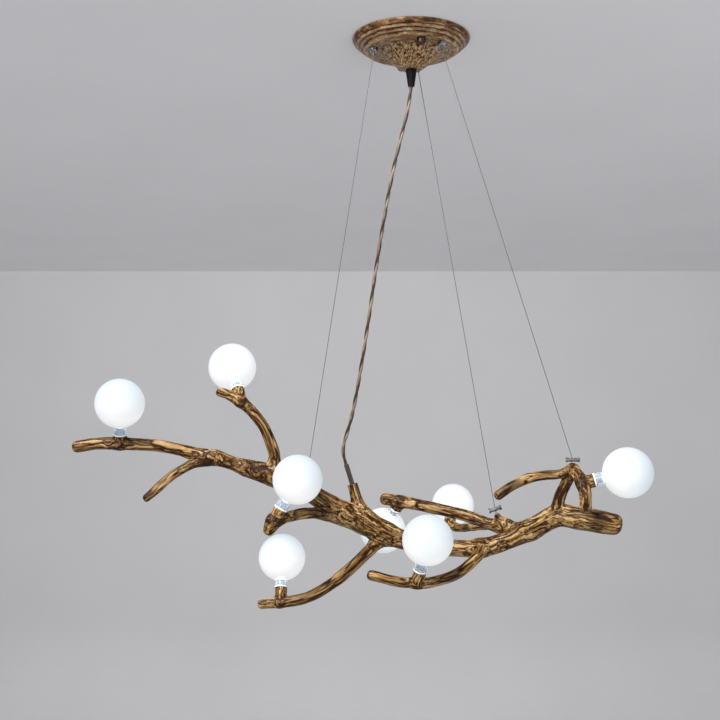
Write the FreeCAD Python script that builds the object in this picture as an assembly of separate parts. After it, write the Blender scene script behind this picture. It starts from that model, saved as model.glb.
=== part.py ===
# Branch chandelier: a canopy on the ceiling, three steel wires, a power cord and a
# branch-shaped frame that carries eight globe lamps.
# Millimetres. Origin: centre of the canopy on the ceiling. +Z up, +X right, +Y away from
# the viewer. The branch frame is laid out around its own datum, BRANCH_DROP below.
import FreeCAD, Part
import math
import os

# ---------------------------------------------------------------- driving dimensions
# ceiling bars
BAR_LENGTH = 120.0
BAR_WIDTH = 20.0
BAR_THICKNESS = 2.0
SLOT_SPACING = 80.0
SLOT_LENGTH = 16.0
SLOT_WIDTH = 5.0
BUSH_BORE = 9.0
BUSH_WALL = 1.5

# canopy dish
CANOPY_RADIUS = 101.0
CANOPY_EDGE = 3.0
CANOPY_DEPTH = 22.0
CANOPY_FLOOR_RADIUS = 77.0
CANOPY_WALL = 1.6
CANOPY_STEPS = 4
STEP_TREAD_SHARE = 0.45
STEP_FALL_SHARE = 0.9

# studs and cap nuts that hold the canopy up
STUD_CIRCLE_RADIUS = 66.0
STUD_ANGLE = 282.0
STUD_RADIUS = 2.0
STUD_CLEARANCE = 0.3
CAP_NUT_RADIUS = 7.7
CAP_NUT_HEIGHT = 12.0
CAP_NUT_DOME = 3.85
STUD_ENGAGEMENT = 8.0

# hub, nipple and strain relief
HUB_TOP_RADIUS = 52.0
HUB_BOTTOM_RADIUS = 16.0
HUB_HEIGHT = 32.0
HUB_WALL = 2.0
HUB_BULGE = 3.0
HUB_SEAT_WALL = 3.0
NIPPLE_RADIUS = 5.0
NIPPLE_BORE_RADIUS = 3.8
NIPPLE_CLEARANCE = 0.2
NIPPLE_NUT_RADIUS = 8.5
NIPPLE_NUT_HEIGHT = 4.0
NIPPLE_PROUD = 1.5
RELIEF_TOP_RADIUS = 9.3
RELIEF_BOTTOM_RADIUS = 5.6
RELIEF_LENGTH = 29.0
RELIEF_COLLAR = 3.0
RELIEF_SOCKET_DEPTH = 10.0
RELIEF_MOUTH_DEPTH = 4.0
RELIEF_MOUTH_RADIUS = 4.3
RELIEF_MOUTH_TAPER = 1.0
CORD_TAIL_PROUD = 3.0

# lamp driver and terminal block inside the canopy
DRIVER_LENGTH = 86.0
DRIVER_WIDTH = 26.0
DRIVER_HEIGHT = 11.0
DRIVER_WALL = 1.2
DRIVER_Y = 33.0
TERMINAL_LENGTH = 32.0
TERMINAL_WIDTH = 14.0
TERMINAL_HEIGHT = 11.0
TERMINAL_X = -12.0
TERMINAL_Y = -31.0
TERMINAL_WAYS = 3
TERMINAL_HOLE_RADIUS = 2.1
TERMINAL_HOLE_DEPTH = 4.4
TERMINAL_ROW_SPACING = 6.2
LEAD_SPACING = 6.0
LEAD_RADIUS = 1.2

# wire grips
GRIP_CIRCLE_RADIUS = 68.0
GRIP_FIRST_ANGLE = 196.5
GRIP_COUNT = 3
GRIP_RADIUS = 7.6
GRIP_HEIGHT = 8.0
GRIP_CORNER = 2.5
GRIP_STEM_RADIUS = 4.0
GRIP_STEM_HEIGHT = 9.0
GRIP_NUT_RADIUS = 6.5
GRIP_NUT_HEIGHT = 3.0
PLUNGER_RADIUS = 2.4
PLUNGER_CLEARANCE = 0.3
PLUNGER_PROUD = 5.0
PLUNGER_INSIDE = 6.0
NOZZLE_MOUTH_RADIUS = 2.0
NOZZLE_MOUTH_DEPTH = 3.0

# suspension wires
WIRE_DIAMETER = 1.2
WIRE_TOP_INSET = 1.5

# power cord: route points in the frame of the whole lamp, chosen by hand
CORD_DIAMETER = 6.5
CORD_ROUTE = [
    (0, 0, -81), (-3, 0, -110), (-12, 0, -150), (-31, 0, -225), (-47, -1, -312),
    (-61, -2, -398), (-73, -3, -484), (-86, -4, -566), (-98.6, -4, -638),
    (-109.3, -3, -676), (-115.9, -2.5, -696.5), (-116.4, -2, -712.3), (-112.3, -2, -725.7),
]
ARC_SHARE = 0.45

# sleeve round the lower end of the cord
SLEEVE_OUTER_RADIUS = 4.3
SLEEVE_WALL = 0.6
SLEEVE_PROUD = 34.0
SLEEVE_INSIDE = 10.0
SOCKET_OVERRUN = 1.0

# branch frame
BRANCH_DROP = 820.0
MAIN_LEAD_RADIUS = 2.0
SIDE_LEAD_RADIUS = 1.6
TWIG_LEAD_RADIUS = 1.3
LEAD_CLEARANCE = 1.2
MAIN_LEAD_START = 3
CORE_RADIUS = 6.6
CORE_FIRST_STATION = 1
CORE_LAST_STATION = 11

# limb stations: (x, y, z, diameter) from the branch datum
TRUNK = [
    (317, -61, -3, 35), (300, -57, 0, 37), (266, -47, 5, 37), (233, -35, 7, 37),
    (193, -17, -17, 33), (153, -5, -36, 31), (112, 1, -48, 30), (62, 3, -48, 28),
    (21, 3, -42, 30), (-16, 3, -35, 32), (-46, 2, -23, 37), (-80, -1, -5, 42),
    (-113, -5, 9, 39), (-154, -12, 34, 33), (-187, -18, 54, 30), (-232, -25, 73, 28),
]
FAR_LEFT = [
    (-273, -29, 85, 24), (-324, -34, 102, 22), (-365, -38, 111, 20), (-416, -42, 122, 19.5),
    (-480, -47, 126, 21), (-515, -49, 126, 20), (-547, -51, 121, 20),
]
LEFT_TWIG = [
    (-324, -34, 102, 15), (-344, -38, 96, 15), (-364, -43, 91, 15), (-394, -49, 74, 14.5),
    (-418, -55, 52, 14.5), (-432, -59, 39, 14),
]
FORK_LIMB = [
    (-232, -25, 73, 23), (-229, -27, 103, 20), (-234, -31, 124, 19), (-246, -37, 153, 18),
    (-266, -45, 179, 18.5), (-283, -51, 194, 19), (-303, -55, 205, 16), (-315, -57, 209, 15),
]
LOW_LEFT_LIMB = [
    (-113, -5, 9, 22), (-138, -19, 7, 19), (-162, -35, 12, 18.5), (-185, -51, 12, 18),
    (-205, -65, 8, 18), (-226, -76, 3, 18),
]
HANGING_LIMB = [
    (-46, 2, -23, 26), (-62, 4, -42, 21), (-84, 9, -64, 20), (-110, 15, -89, 20),
    (-139, 20, -112, 19), (-170, 23, -130, 19), (-201, 24, -139, 19), (-222, 24, -141, 18.5),
    (-252, 24, -144, 16),
]
LONG_BACK_LIMB = [
    (193, -17, -17, 24), (162, 23, -17, 21), (131, 40, -11, 20.5), (94, 55, 1, 20),
    (51, 66, 11, 20), (8, 74, 20, 20), (-18, 76, 24, 21), (-43, 78, 28, 20.5),
]
WIRE_STUB = [(162, 23, -17, 22), (154, 24, -10, 18), (148, 23, -3, 13), (143, 22, 6, 9.5)]
SHORT_BACK_LIMB = [
    (162, 23, -17, 18), (145, 62, -15, 15), (119, 118, -23, 15), (93, 175, -30, 16),
    (78, 205, -24, 18),
]
FRONT_LIMB = [
    (112, 1, -48, 21), (107, -27, -56, 18), (90, -51, -68, 17), (64, -69, -83, 17),
    (31, -81, -92, 17), (2, -87, -94, 17.5), (-33, -91, -90, 17), (-69, -95, -81, 16.5),
]
STRUT_LIMB = [
    (233, -35, 7, 21), (234, -43, 24, 19.5), (238, -51, 43, 19), (247, -60, 65, 18.5),
    (255, -67, 84, 19),
]
ARCH_LIMB = [
    (255, -67, 84, 18), (235, -64, 77, 16), (211, -61, 75, 16), (186, -59, 70, 16),
    (159, -57, 58, 16), (137, -56, 43, 15.5),
]
RIGHT_LIMB = [
    (255, -67, 84, 19), (260, -88, 74, 20), (263, -99, 64, 20), (266, -106, 48, 20),
    (266, -110, 28, 19),
]
CORD_STUB = [(-80, -1, -5, 26), (-88, -2, 18, 20), (-95.4, -2, 40, 18), (-101, -2, 58, 18)]
KNOB_WAY = (-0.45, 0.03, -0.9)
KNOB_LENGTH = 16.0
SLIVER_SHARE = 0.02

# lamps: the station each stands on, the height of its seat over it and the way it points
LAMP_STATIONS = [
    FAR_LEFT[4], FORK_LIMB[5], LOW_LEFT_LIMB[5], HANGING_LIMB[7],
    LONG_BACK_LIMB[6], SHORT_BACK_LIMB[4], FRONT_LIMB[5], RIGHT_LIMB[2],
]
LAMP_SEAT_RADIUS = 10.6
STUB_OVERRUN = 1.0
SEAT_HEIGHTS = [15.5, 26.5, 21.7, 24.7, 16.0, 14.5, 22.0, 19.0]
LAMP_TILTS = [
    (0.06, -0.36, 0.93), (-0.25, 0.62, 0.74), (0.50, -0.01, 0.86), (0.0, 0.43, 0.90),
    (-0.42, 0.50, -0.76), (0.18, 0.88, 0.44), (0.21, -0.34, 0.92), (0.93, -0.12, 0.22),
]

# one lamp, heights above the seat
GLOBE_RADIUS = 40.0
GLOBE_WALL = 1.6
GLOBE_CENTRE_HEIGHT = 54.0
NECK_RADIUS = 10.5
NECK_WALL = 1.6
RING_HEIGHT = 2.0
RING_RADIUS = 11.2
HOLDER_RADIUS = 6.0
HOLDER_HEIGHT = 13.0
HOLDER_FOOT_HEIGHT = 5.0
NECK_CLEARANCE = 0.4
BULB_RADIUS = 4.75
BULB_LENGTH = 30.0
PIN_RADIUS = 0.4
PIN_SPACING = 4.0
PIN_LENGTH = 7.0
PIN_CLEARANCE = 0.35

# wire anchors: the stud's direction, and the heights of its foot and of the cross barrel's
# middle over the spot
ANCHOR_STUD_RADIUS = 1.8
ANCHOR_STUD_INTO_BARREL = 2.4
BARREL_RADIUS = 3.2
BARREL_LENGTH = 16.0
BARREL_CAP_RADIUS = 4.2
BARREL_CAP_LENGTH = 3.2
WIRE_HOLE_CLEARANCE = 0.6
ANCHORS = [
    {"spot": (-176, -16, 47), "up": (0.0, 0.25, 0.97), "foot": 9.0, "height": 27.0},
    {"spot": (143, 22, 6), "up": (-0.30, 0.0, 0.95), "foot": -8.0, "height": 9.0},
    {"spot": (255, -67, 84), "up": (0.0, 0.0, 1.0), "foot": 4.0, "height": 16.0},
]

V = FreeCAD.Vector
UP = V(0, 0, 1)
PARTS_FOLDER = "parts"


def save(name, *solids):
    """Writes one sub-part, a single solid or a group of separate ones."""
    shape = solids[0] if len(solids) == 1 else Part.makeCompound(list(solids))
    shape.exportStep(os.path.join(PARTS_FOLDER, name + ".step"))
    volume = sum(solid.Volume for solid in shape.Solids)
    print("%-22s solids %2d  volume %9.0f" % (name, len(shape.Solids), volume))
    if not shape.isValid():
        print("   not valid:", name)
    return shape


def tube(outer, inner, height, base=V(0, 0, 0), axis=UP):
    """A round tube, or a rod where inner is 0."""
    solid = Part.makeCylinder(outer, height, base, axis)
    if inner > 0:
        solid = solid.cut(Part.makeCylinder(inner, height, base, axis))
    return solid


def turned(profile):
    """Revolves a closed outline of (radius, height) points about Z."""
    points = [V(radius, 0, height) for radius, height in profile]
    face = Part.Face(Part.makePolygon(points + points[:1]))
    return face.revolve(V(0, 0, 0), UP, 360)


def on_circle(radius, degrees, height):
    angle = math.radians(degrees)
    return V(radius * math.cos(angle), radius * math.sin(angle), height)


def placed(shape, base, axis):
    """A copy of a shape modelled along +Z, stood at base and turned along axis."""
    copy = shape.copy()
    copy.Placement = FreeCAD.Placement(base, FreeCAD.Rotation(UP, axis))
    return copy


# ---------------------------------------------------------------- limbs
def from_datum(point):
    """A branch point in the frame of the whole lamp."""
    return V(point[0], point[1], point[2] - BRANCH_DROP)


def directions(stations):
    """The direction of the middle line at each station."""
    points = [from_datum(station) for station in stations]
    last = len(points) - 1
    result = []
    for index in range(len(points)):
        ahead = points[min(index + 1, last)] - points[max(index - 1, 0)]
        result.append(ahead.normalize())
    return result


def rod(stations, lines=None):
    """A smooth rod through round sections, one at each station."""
    lines = lines or directions(stations)
    turn = FreeCAD.Rotation(UP, lines[0])
    wires = []
    for index, station in enumerate(stations):
        if index:
            turn = FreeCAD.Rotation(lines[index - 1], lines[index]).multiply(turn)
        circle = Part.Circle(V(0, 0, 0), UP, station[3] / 2.0).toShape()
        circle.Placement = FreeCAD.Placement(from_datum(station), turn)
        wires.append(Part.Wire([circle]))
    return Part.makeLoft(wires, True, False)


def round_end(stations, line):
    """The half ball that closes the free end of a rod."""
    return Part.makeSphere(stations[-1][3] / 2.0, from_datum(stations[-1]), line, 0, 90, 360)


def limb(stations, rounded=True):
    solid = rod(stations)
    if rounded:
        solid = solid.fuse(round_end(stations, directions(stations)[-1]))
    return solid


def arc_wire(points):
    """Straight runs joined by tangent arcs, and the (turn, radius) of each arc."""
    edges = []
    bends = []
    start = points[0]
    for before, corner, after in zip(points, points[1:], points[2:]):
        way_in = (corner - before).normalize()
        way_out = (after - corner).normalize()
        turn = way_in.getAngle(way_out)
        reach = ARC_SHARE * min((corner - before).Length, (after - corner).Length)
        radius = reach / math.tan(turn / 2.0)
        arc_start = corner - way_in * reach
        arc_end = corner + way_out * reach
        middle = corner + (way_out - way_in).normalize() * (
            radius / math.cos(turn / 2.0) - radius)
        edges.append(Part.LineSegment(start, arc_start).toShape())
        edges.append(Part.Arc(arc_start, middle, arc_end).toShape())
        bends.append((math.degrees(turn), radius))
        start = arc_end
    edges.append(Part.LineSegment(start, points[-1]).toShape())
    return Part.Wire(edges), bends


def bent_rod(points, radius):
    """A round rod or bore along straight runs with rounded corners."""
    path = arc_wire(points)[0]
    section = Part.Wire([Part.Circle(points[0], points[1] - points[0], radius).toShape()])
    return path.makePipeShell([section], True, False)


def lamp_axis(number):
    """The way lamp number points."""
    return V(*LAMP_TILTS[number]).normalize()


def lamp_seat(number):
    """The middle of the seat of lamp number and the way it points."""
    axis = lamp_axis(number)
    return from_datum(LAMP_STATIONS[number]) + axis * SEAT_HEIGHTS[number], axis


def lamp_stub(number):
    """The conical knob of a limb under a lamp."""
    station = LAMP_STATIONS[number]
    return Part.makeCone(station[3] / 2.0, LAMP_SEAT_RADIUS, SEAT_HEIGHTS[number],
                         from_datum(station), lamp_axis(number))


def lead_path(stations, number, past_seat):
    """The way of a lead through a limb's stations and up to its lamp's seat."""
    seat, axis = lamp_seat(number)
    return [from_datum(station) for station in stations] + [seat + axis * past_seat]


def lead_and_bore(stations, number, radius):
    lead = bent_rod(lead_path(stations, number, 0.0), radius)
    bore = bent_rod(lead_path(stations, number, STUB_OVERRUN), radius + LEAD_CLEARANCE)
    return lead, bore


def anchor_frame(anchor):
    """The middle of the cross barrel and the direction of its stud."""
    axis = V(*anchor["up"]).normalize()
    return from_datum(anchor["spot"]) + axis * anchor["height"], axis


def anchor_stud(anchor):
    centre, axis = anchor_frame(anchor)
    base = from_datum(anchor["spot"]) + axis * anchor["foot"]
    length = anchor["height"] - BARREL_RADIUS + ANCHOR_STUD_INTO_BARREL - anchor["foot"]
    return Part.makeCylinder(ANCHOR_STUD_RADIUS, length, base, axis)


def branch():
    """Cuts the limbs to each other, bores them for the leads and writes them."""
    left_line = TRUNK + FAR_LEFT
    left_ways = directions(left_line)
    split = len(TRUNK)
    trunk = rod(TRUNK, left_ways[:split])
    trunk_end = [TRUNK[1], TRUNK[0]]
    trunk = trunk.fuse(round_end(trunk_end, left_ways[0] * -1))
    far_stations = left_line[split - 1:]
    far_left = rod(far_stations, left_ways[split - 1:])
    far_left = far_left.fuse(round_end(far_stations, left_ways[-1]))
    far_left = far_left.fuse(lamp_stub(0))

    fork = limb(FORK_LIMB).fuse(lamp_stub(1))
    low_left = limb(LOW_LEFT_LIMB).fuse(lamp_stub(2))
    knob_way = V(*KNOB_WAY).normalize()
    knob_radius = LOW_LEFT_LIMB[-1][3] / 2.0
    knob_base = from_datum(LOW_LEFT_LIMB[-1])
    knob = Part.makeCylinder(knob_radius, KNOB_LENGTH, knob_base, knob_way)
    knob_tip = knob_base + knob_way * KNOB_LENGTH
    knob = knob.fuse(Part.makeSphere(knob_radius, knob_tip, knob_way, 0, 90, 360))
    low_left = low_left.fuse(knob)
    hanging = limb(HANGING_LIMB).fuse(lamp_stub(3))
    long_back = limb(LONG_BACK_LIMB).fuse(lamp_stub(4))
    long_back = long_back.fuse(limb(WIRE_STUB, rounded=False))
    short_back = limb(SHORT_BACK_LIMB).fuse(lamp_stub(5))
    front = limb(FRONT_LIMB).fuse(lamp_stub(6))
    strut = limb(STRUT_LIMB)
    arch = limb(ARCH_LIMB)
    right = limb(RIGHT_LIMB, rounded=False).fuse(lamp_stub(7))
    cord_stub = limb(CORD_STUB, rounded=False)
    twig = limb(LEFT_TWIG)

    # a bent steel rod stiffens the heavy part of the trunk
    core_stations = TRUNK[CORE_FIRST_STATION:CORE_LAST_STATION + 1]
    core = bent_rod([from_datum(station) for station in core_stations], CORE_RADIUS)

    # each limb is scribed to what it grows from
    scribed = {
        "trunk": trunk.cut(core),
        "trunk_core": core,
        "far_left_limb": far_left,
        "left_twig": twig.cut(far_left),
        "fork_limb": fork.cut(trunk).cut(far_left),
        "low_left_limb": low_left.cut(trunk),
        "hanging_limb": hanging.cut(trunk),
        "long_back_limb": long_back.cut(trunk),
        "short_back_limb": short_back.cut(long_back).cut(trunk),
        "front_limb": front.cut(trunk),
        "strut_limb": strut.cut(trunk),
        "arch_limb": arch.cut(strut),
        "right_limb": right.cut(strut).cut(arch),
        "cord_stub": cord_stub.cut(trunk),
    }

    # the main lead starts in the trunk and runs on to the far left lamp
    main_stations = TRUNK[MAIN_LEAD_START:] + FAR_LEFT[:FAR_LEFT.index(LAMP_STATIONS[0]) + 1]
    main_lead, main_bore = lead_and_bore(main_stations, 0, MAIN_LEAD_RADIUS)
    bores = {"trunk": [main_bore], "far_left_limb": [main_bore]}
    leads = [main_lead]

    # each other lamp's lead starts on the main one: its limbs, its way and its number
    up_and_over = STRUT_LIMB + RIGHT_LIMB[1:]
    lit = [
        (["far_left_limb", "fork_limb"], FORK_LIMB, 1), (["low_left_limb"], LOW_LEFT_LIMB, 2),
        (["hanging_limb"], HANGING_LIMB, 3), (["long_back_limb"], LONG_BACK_LIMB, 4),
        (["front_limb"], FRONT_LIMB, 6),
        (["strut_limb", "arch_limb", "right_limb"], up_and_over, 7),
    ]
    for names, stations, number in lit:
        way = stations[:stations.index(LAMP_STATIONS[number]) + 1]
        lead, bore = lead_and_bore(way, number, SIDE_LEAD_RADIUS)
        leads.append(lead)
        for name in ["trunk"] + names:
            bores.setdefault(name, []).append(bore)

    # the short back limb's lead starts on the long back limb's
    lead, bore = lead_and_bore(SHORT_BACK_LIMB, 5, TWIG_LEAD_RADIUS)
    leads.append(lead)
    bores["short_back_limb"] = [bore]
    bores["long_back_limb"].append(bore)

    # the cord stub takes the sleeve
    sleeve_way = directions(CORD_STUB)[-1]
    stub_top = from_datum(CORD_STUB[-1])
    cord_way = [from_datum(station) for station in CORD_STUB]
    cord_bore = bent_rod(cord_way, SIDE_LEAD_RADIUS + LEAD_CLEARANCE)
    socket_base = stub_top - sleeve_way * SLEEVE_INSIDE
    socket = Part.makeCylinder(SLEEVE_OUTER_RADIUS, SLEEVE_INSIDE + SOCKET_OVERRUN,
                               socket_base, sleeve_way)
    bores["cord_stub"] = [cord_bore, socket]
    bores["trunk"].append(cord_bore)

    # holes for the anchor studs
    for name, number in (("trunk", 0), ("long_back_limb", 1), ("strut_limb", 2)):
        bores.setdefault(name, []).append(anchor_stud(ANCHORS[number]))
    bores["arch_limb"].append(anchor_stud(ANCHORS[2]))
    bores["right_limb"].append(anchor_stud(ANCHORS[2]))

    bores["trunk_core"] = bores["trunk"]
    for name, solid in scribed.items():
        for bore in bores.get(name, []):
            solid = solid.cut(bore)
        save(name, *largest_first(solid))

    # the cord's fixed end stands in the sleeve and ends flush with its mouth
    sleeve_length = SLEEVE_INSIDE + SLEEVE_PROUD
    tail = Part.makeCylinder(CORD_DIAMETER / 2.0, sleeve_length, socket_base, sleeve_way)
    leads.append(bent_rod(cord_way, SIDE_LEAD_RADIUS).fuse(tail))

    # leads that meet are cut at the one they branch from
    trimmed = [leads[0]]
    for lead in leads[1:]:
        for other in trimmed:
            lead = lead.cut(other)
        trimmed.append(largest_first(lead)[0])
    save("branch_leads", *trimmed)

    inner = SLEEVE_OUTER_RADIUS - SLEEVE_WALL
    save("cord_sleeve", tube(SLEEVE_OUTER_RADIUS, inner, sleeve_length, socket_base, sleeve_way))


def largest_first(shape):
    """The solids of a cut shape, without slivers."""
    solids = sorted(shape.Solids, key=lambda solid: -solid.Volume)
    return [solid for solid in solids if solid.Volume > solids[0].Volume * SLIVER_SHARE]


# ---------------------------------------------------------------- lamps
def globe_solid():
    """Glass globe with its neck, standing on the seat's middle."""
    centre = V(0, 0, GLOBE_CENTRE_HEIGHT)
    neck_height = GLOBE_CENTRE_HEIGHT - RING_HEIGHT
    neck_base = V(0, 0, RING_HEIGHT)
    outside = Part.makeSphere(GLOBE_RADIUS, centre)
    outside = outside.fuse(Part.makeCylinder(NECK_RADIUS, neck_height, neck_base))
    inside = Part.makeSphere(GLOBE_RADIUS - GLOBE_WALL, centre)
    neck_bore = NECK_RADIUS - NECK_WALL
    inside = inside.fuse(Part.makeCylinder(neck_bore, neck_height, neck_base))
    return outside.cut(inside)


def holder_solid():
    """Two-pin lamp holder: a foot that centres the neck, and a body with two pin holes."""
    foot_radius = NECK_RADIUS - NECK_WALL - NECK_CLEARANCE
    solid = Part.makeCylinder(foot_radius, HOLDER_FOOT_HEIGHT)
    solid = solid.fuse(Part.makeCylinder(HOLDER_RADIUS, HOLDER_HEIGHT))
    depth = PIN_LENGTH + PIN_CLEARANCE
    for side in (-1, 1):
        foot = V(side * PIN_SPACING / 2.0, 0, HOLDER_HEIGHT - depth)
        solid = solid.cut(Part.makeCylinder(PIN_RADIUS + PIN_CLEARANCE, depth, foot))
    return solid


def bulb_solid():
    """Two-pin capsule bulb, seated on the holder."""
    base = V(0, 0, HOLDER_HEIGHT)
    body = Part.makeCylinder(BULB_RADIUS, BULB_LENGTH, base)
    tip = base + V(0, 0, BULB_LENGTH)
    body = body.fuse(Part.makeSphere(BULB_RADIUS, tip, UP, 0, 90, 360))
    for side in (-1, 1):
        foot = V(side * PIN_SPACING / 2.0, 0, HOLDER_HEIGHT - PIN_LENGTH)
        body = body.fuse(Part.makeCylinder(PIN_RADIUS, PIN_LENGTH, foot))
    return body


def ring_solid():
    """Seat ring between the limb and the neck."""
    return tube(RING_RADIUS, NECK_RADIUS - NECK_WALL, RING_HEIGHT)


def lamps():
    seats = [lamp_seat(number) for number in range(len(LAMP_STATIONS))]
    globe, holder, bulb, ring = globe_solid(), holder_solid(), bulb_solid(), ring_solid()
    save("seat_rings", *[placed(ring, *seat) for seat in seats])
    save("lamp_holders", *[placed(holder, *seat) for seat in seats])
    for number, (seat, axis) in enumerate(seats, 1):
        save("globe_%d" % number, placed(globe, seat, axis))
        save("bulb_%d" % number, placed(bulb, seat, axis))
        print("   lamp %d seat" % number, rounded(seat), "axis", rounded(axis, 5))


def rounded(vector, digits=2):
    return tuple(round(value, digits) for value in vector)


# ---------------------------------------------------------------- wires and anchors
def grip_spots(height):
    turns = 360.0 / GRIP_COUNT
    angles = [GRIP_FIRST_ANGLE - turns * index for index in range(GRIP_COUNT)]
    return [on_circle(GRIP_CIRCLE_RADIUS, angle, height) for angle in angles]


def nozzle_height():
    return -CANOPY_DEPTH - GRIP_HEIGHT - PLUNGER_PROUD


def suspension():
    """Wires from the nozzles to the cross barrels on the branch."""
    tops = grip_spots(nozzle_height() + WIRE_TOP_INSET)
    wire_radius = WIRE_DIAMETER / 2.0
    studs, barrels, caps = [], [], []
    for number, (top, anchor) in enumerate(zip(tops, ANCHORS), 1):
        centre, axis = anchor_frame(anchor)
        way = (top - centre).normalize()
        length = (top - centre).Length
        save("suspension_wire_%d" % number, tube(wire_radius, 0, length, centre, way))
        print("   wire %d from" % number, rounded(top), "to", rounded(centre))
        across = V(1, 0, 0) - axis * axis.x
        across.normalize()
        half = across * (BARREL_LENGTH / 2.0)
        barrel = tube(BARREL_RADIUS, 0, BARREL_LENGTH, centre - half, across)
        hole = wire_radius + WIRE_HOLE_CLEARANCE
        hole_base = centre - way * WIRE_HOLE_CLEARANCE
        barrel = barrel.cut(Part.makeCylinder(hole, BARREL_RADIUS * 2.0, hole_base, way))
        stud = anchor_stud(anchor)
        barrels.append(barrel.cut(stud))
        studs.append(stud.cut(Part.makeCylinder(hole, BARREL_RADIUS * 2.0, hole_base, way)))
        for side in (-1, 1):
            face = centre + half * side
            caps.append(tube(BARREL_CAP_RADIUS, 0, BARREL_CAP_LENGTH, face, across * side))
    save("anchor_studs", *studs)
    save("cross_barrels", *barrels)
    save("barrel_caps", *caps)


# ---------------------------------------------------------------- power cord
def power_cord():
    points = [V(*point) for point in CORD_ROUTE]
    path, bends = arc_wire(points)
    for turn, bend_radius in bends:
        print("   cord turn %4.1f degrees, radius %6.1f" % (turn, bend_radius))
    radius = CORD_DIAMETER / 2.0
    solid = bent_rod(points, radius)
    expected = math.pi * radius * radius * path.Length
    print("   cord length %.1f, volume over section times length %.4f"
          % (path.Length, solid.Volume / expected))
    save("power_cord", solid)


# ---------------------------------------------------------------- ceiling group
def slotted_bar():
    """Upper bar, along X, with a slot for a ceiling screw near each end."""
    bar = Part.makeBox(BAR_LENGTH, BAR_WIDTH, BAR_THICKNESS,
                       V(-BAR_LENGTH / 2.0, -BAR_WIDTH / 2.0, -BAR_THICKNESS))
    straight = SLOT_LENGTH - SLOT_WIDTH
    for side in (-1, 1):
        middle = V(side * SLOT_SPACING / 2.0, 0, -BAR_THICKNESS)
        slot = Part.makeBox(straight, SLOT_WIDTH, BAR_THICKNESS,
                            middle - V(straight / 2.0, SLOT_WIDTH / 2.0, 0))
        for end in (-1, 1):
            centre = middle + V(end * straight / 2.0, 0, 0)
            slot = slot.fuse(Part.makeCylinder(SLOT_WIDTH / 2.0, BAR_THICKNESS, centre))
        bar = bar.cut(slot)
    return bar.cut(Part.makeCylinder(BUSH_BORE / 2.0 + BUSH_WALL, BAR_THICKNESS,
                                     V(0, 0, -BAR_THICKNESS)))


def stud_bar():
    """Lower bar, turned to the studs, with a round hole for each stud."""
    length = 2.0 * STUD_CIRCLE_RADIUS + BAR_WIDTH
    bar = Part.makeBox(length, BAR_WIDTH, BAR_THICKNESS,
                       V(-length / 2.0, -BAR_WIDTH / 2.0, -2.0 * BAR_THICKNESS))
    bar.rotate(V(0, 0, 0), UP, STUD_ANGLE)
    for spot in stud_spots(-2.0 * BAR_THICKNESS):
        bar = bar.cut(Part.makeCylinder(STUD_RADIUS, BAR_THICKNESS, spot))
    return bar.cut(Part.makeCylinder(BUSH_BORE / 2.0 + BUSH_WALL, BAR_THICKNESS,
                                     V(0, 0, -2.0 * BAR_THICKNESS)))


def stud_spots(height):
    return [on_circle(STUD_CIRCLE_RADIUS, STUD_ANGLE + turn, height) for turn in (0, 180)]


def canopy_outline():
    """Outer line of the stepped dish, from the rim to the edge of its floor."""
    points = [(CANOPY_RADIUS, 0.0), (CANOPY_RADIUS, -CANOPY_EDGE)]
    run = (CANOPY_RADIUS - CANOPY_FLOOR_RADIUS) / CANOPY_STEPS
    fall = (CANOPY_DEPTH - CANOPY_EDGE) / CANOPY_STEPS
    for step in range(CANOPY_STEPS):
        radius = CANOPY_RADIUS - run * step
        height = -CANOPY_EDGE - fall * step
        points.append((radius - run * (1.0 - STEP_TREAD_SHARE), height - fall * STEP_FALL_SHARE))
        points.append((radius - run, height - fall))
    return points


def canopy_shell():
    outer = canopy_outline()
    hole = NIPPLE_RADIUS + NIPPLE_CLEARANCE
    inner = [(radius - CANOPY_WALL, height + CANOPY_WALL) for radius, height in outer[1:]]
    floor = -CANOPY_DEPTH
    profile = outer + [(hole, floor), (hole, floor + CANOPY_WALL)] + inner[::-1]
    profile.append((CANOPY_RADIUS - CANOPY_WALL, 0.0))
    shell = turned(profile)
    for spot in stud_spots(floor):
        shell = shell.cut(Part.makeCylinder(STUD_RADIUS + STUD_CLEARANCE, CANOPY_WALL, spot))
    for spot in grip_spots(floor):
        shell = shell.cut(Part.makeCylinder(GRIP_STEM_RADIUS, CANOPY_WALL, spot))
    return shell


def canopy_hub():
    """Hollow cone with a slightly bulging side and a bottom plate."""
    top = -CANOPY_DEPTH
    bottom = top - HUB_HEIGHT
    middle_radius = (HUB_TOP_RADIUS + HUB_BOTTOM_RADIUS) / 2.0 + HUB_BULGE
    middle = (top + bottom) / 2.0
    hole = NIPPLE_RADIUS + NIPPLE_CLEARANCE
    return turned([
        (HUB_TOP_RADIUS, top), (middle_radius, middle), (HUB_BOTTOM_RADIUS, bottom),
        (hole, bottom), (hole, bottom + HUB_WALL),
        (HUB_BOTTOM_RADIUS - HUB_WALL, bottom + HUB_WALL),
        (middle_radius - HUB_WALL, middle + HUB_WALL), (HUB_TOP_RADIUS - HUB_SEAT_WALL, top),
    ])


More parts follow.
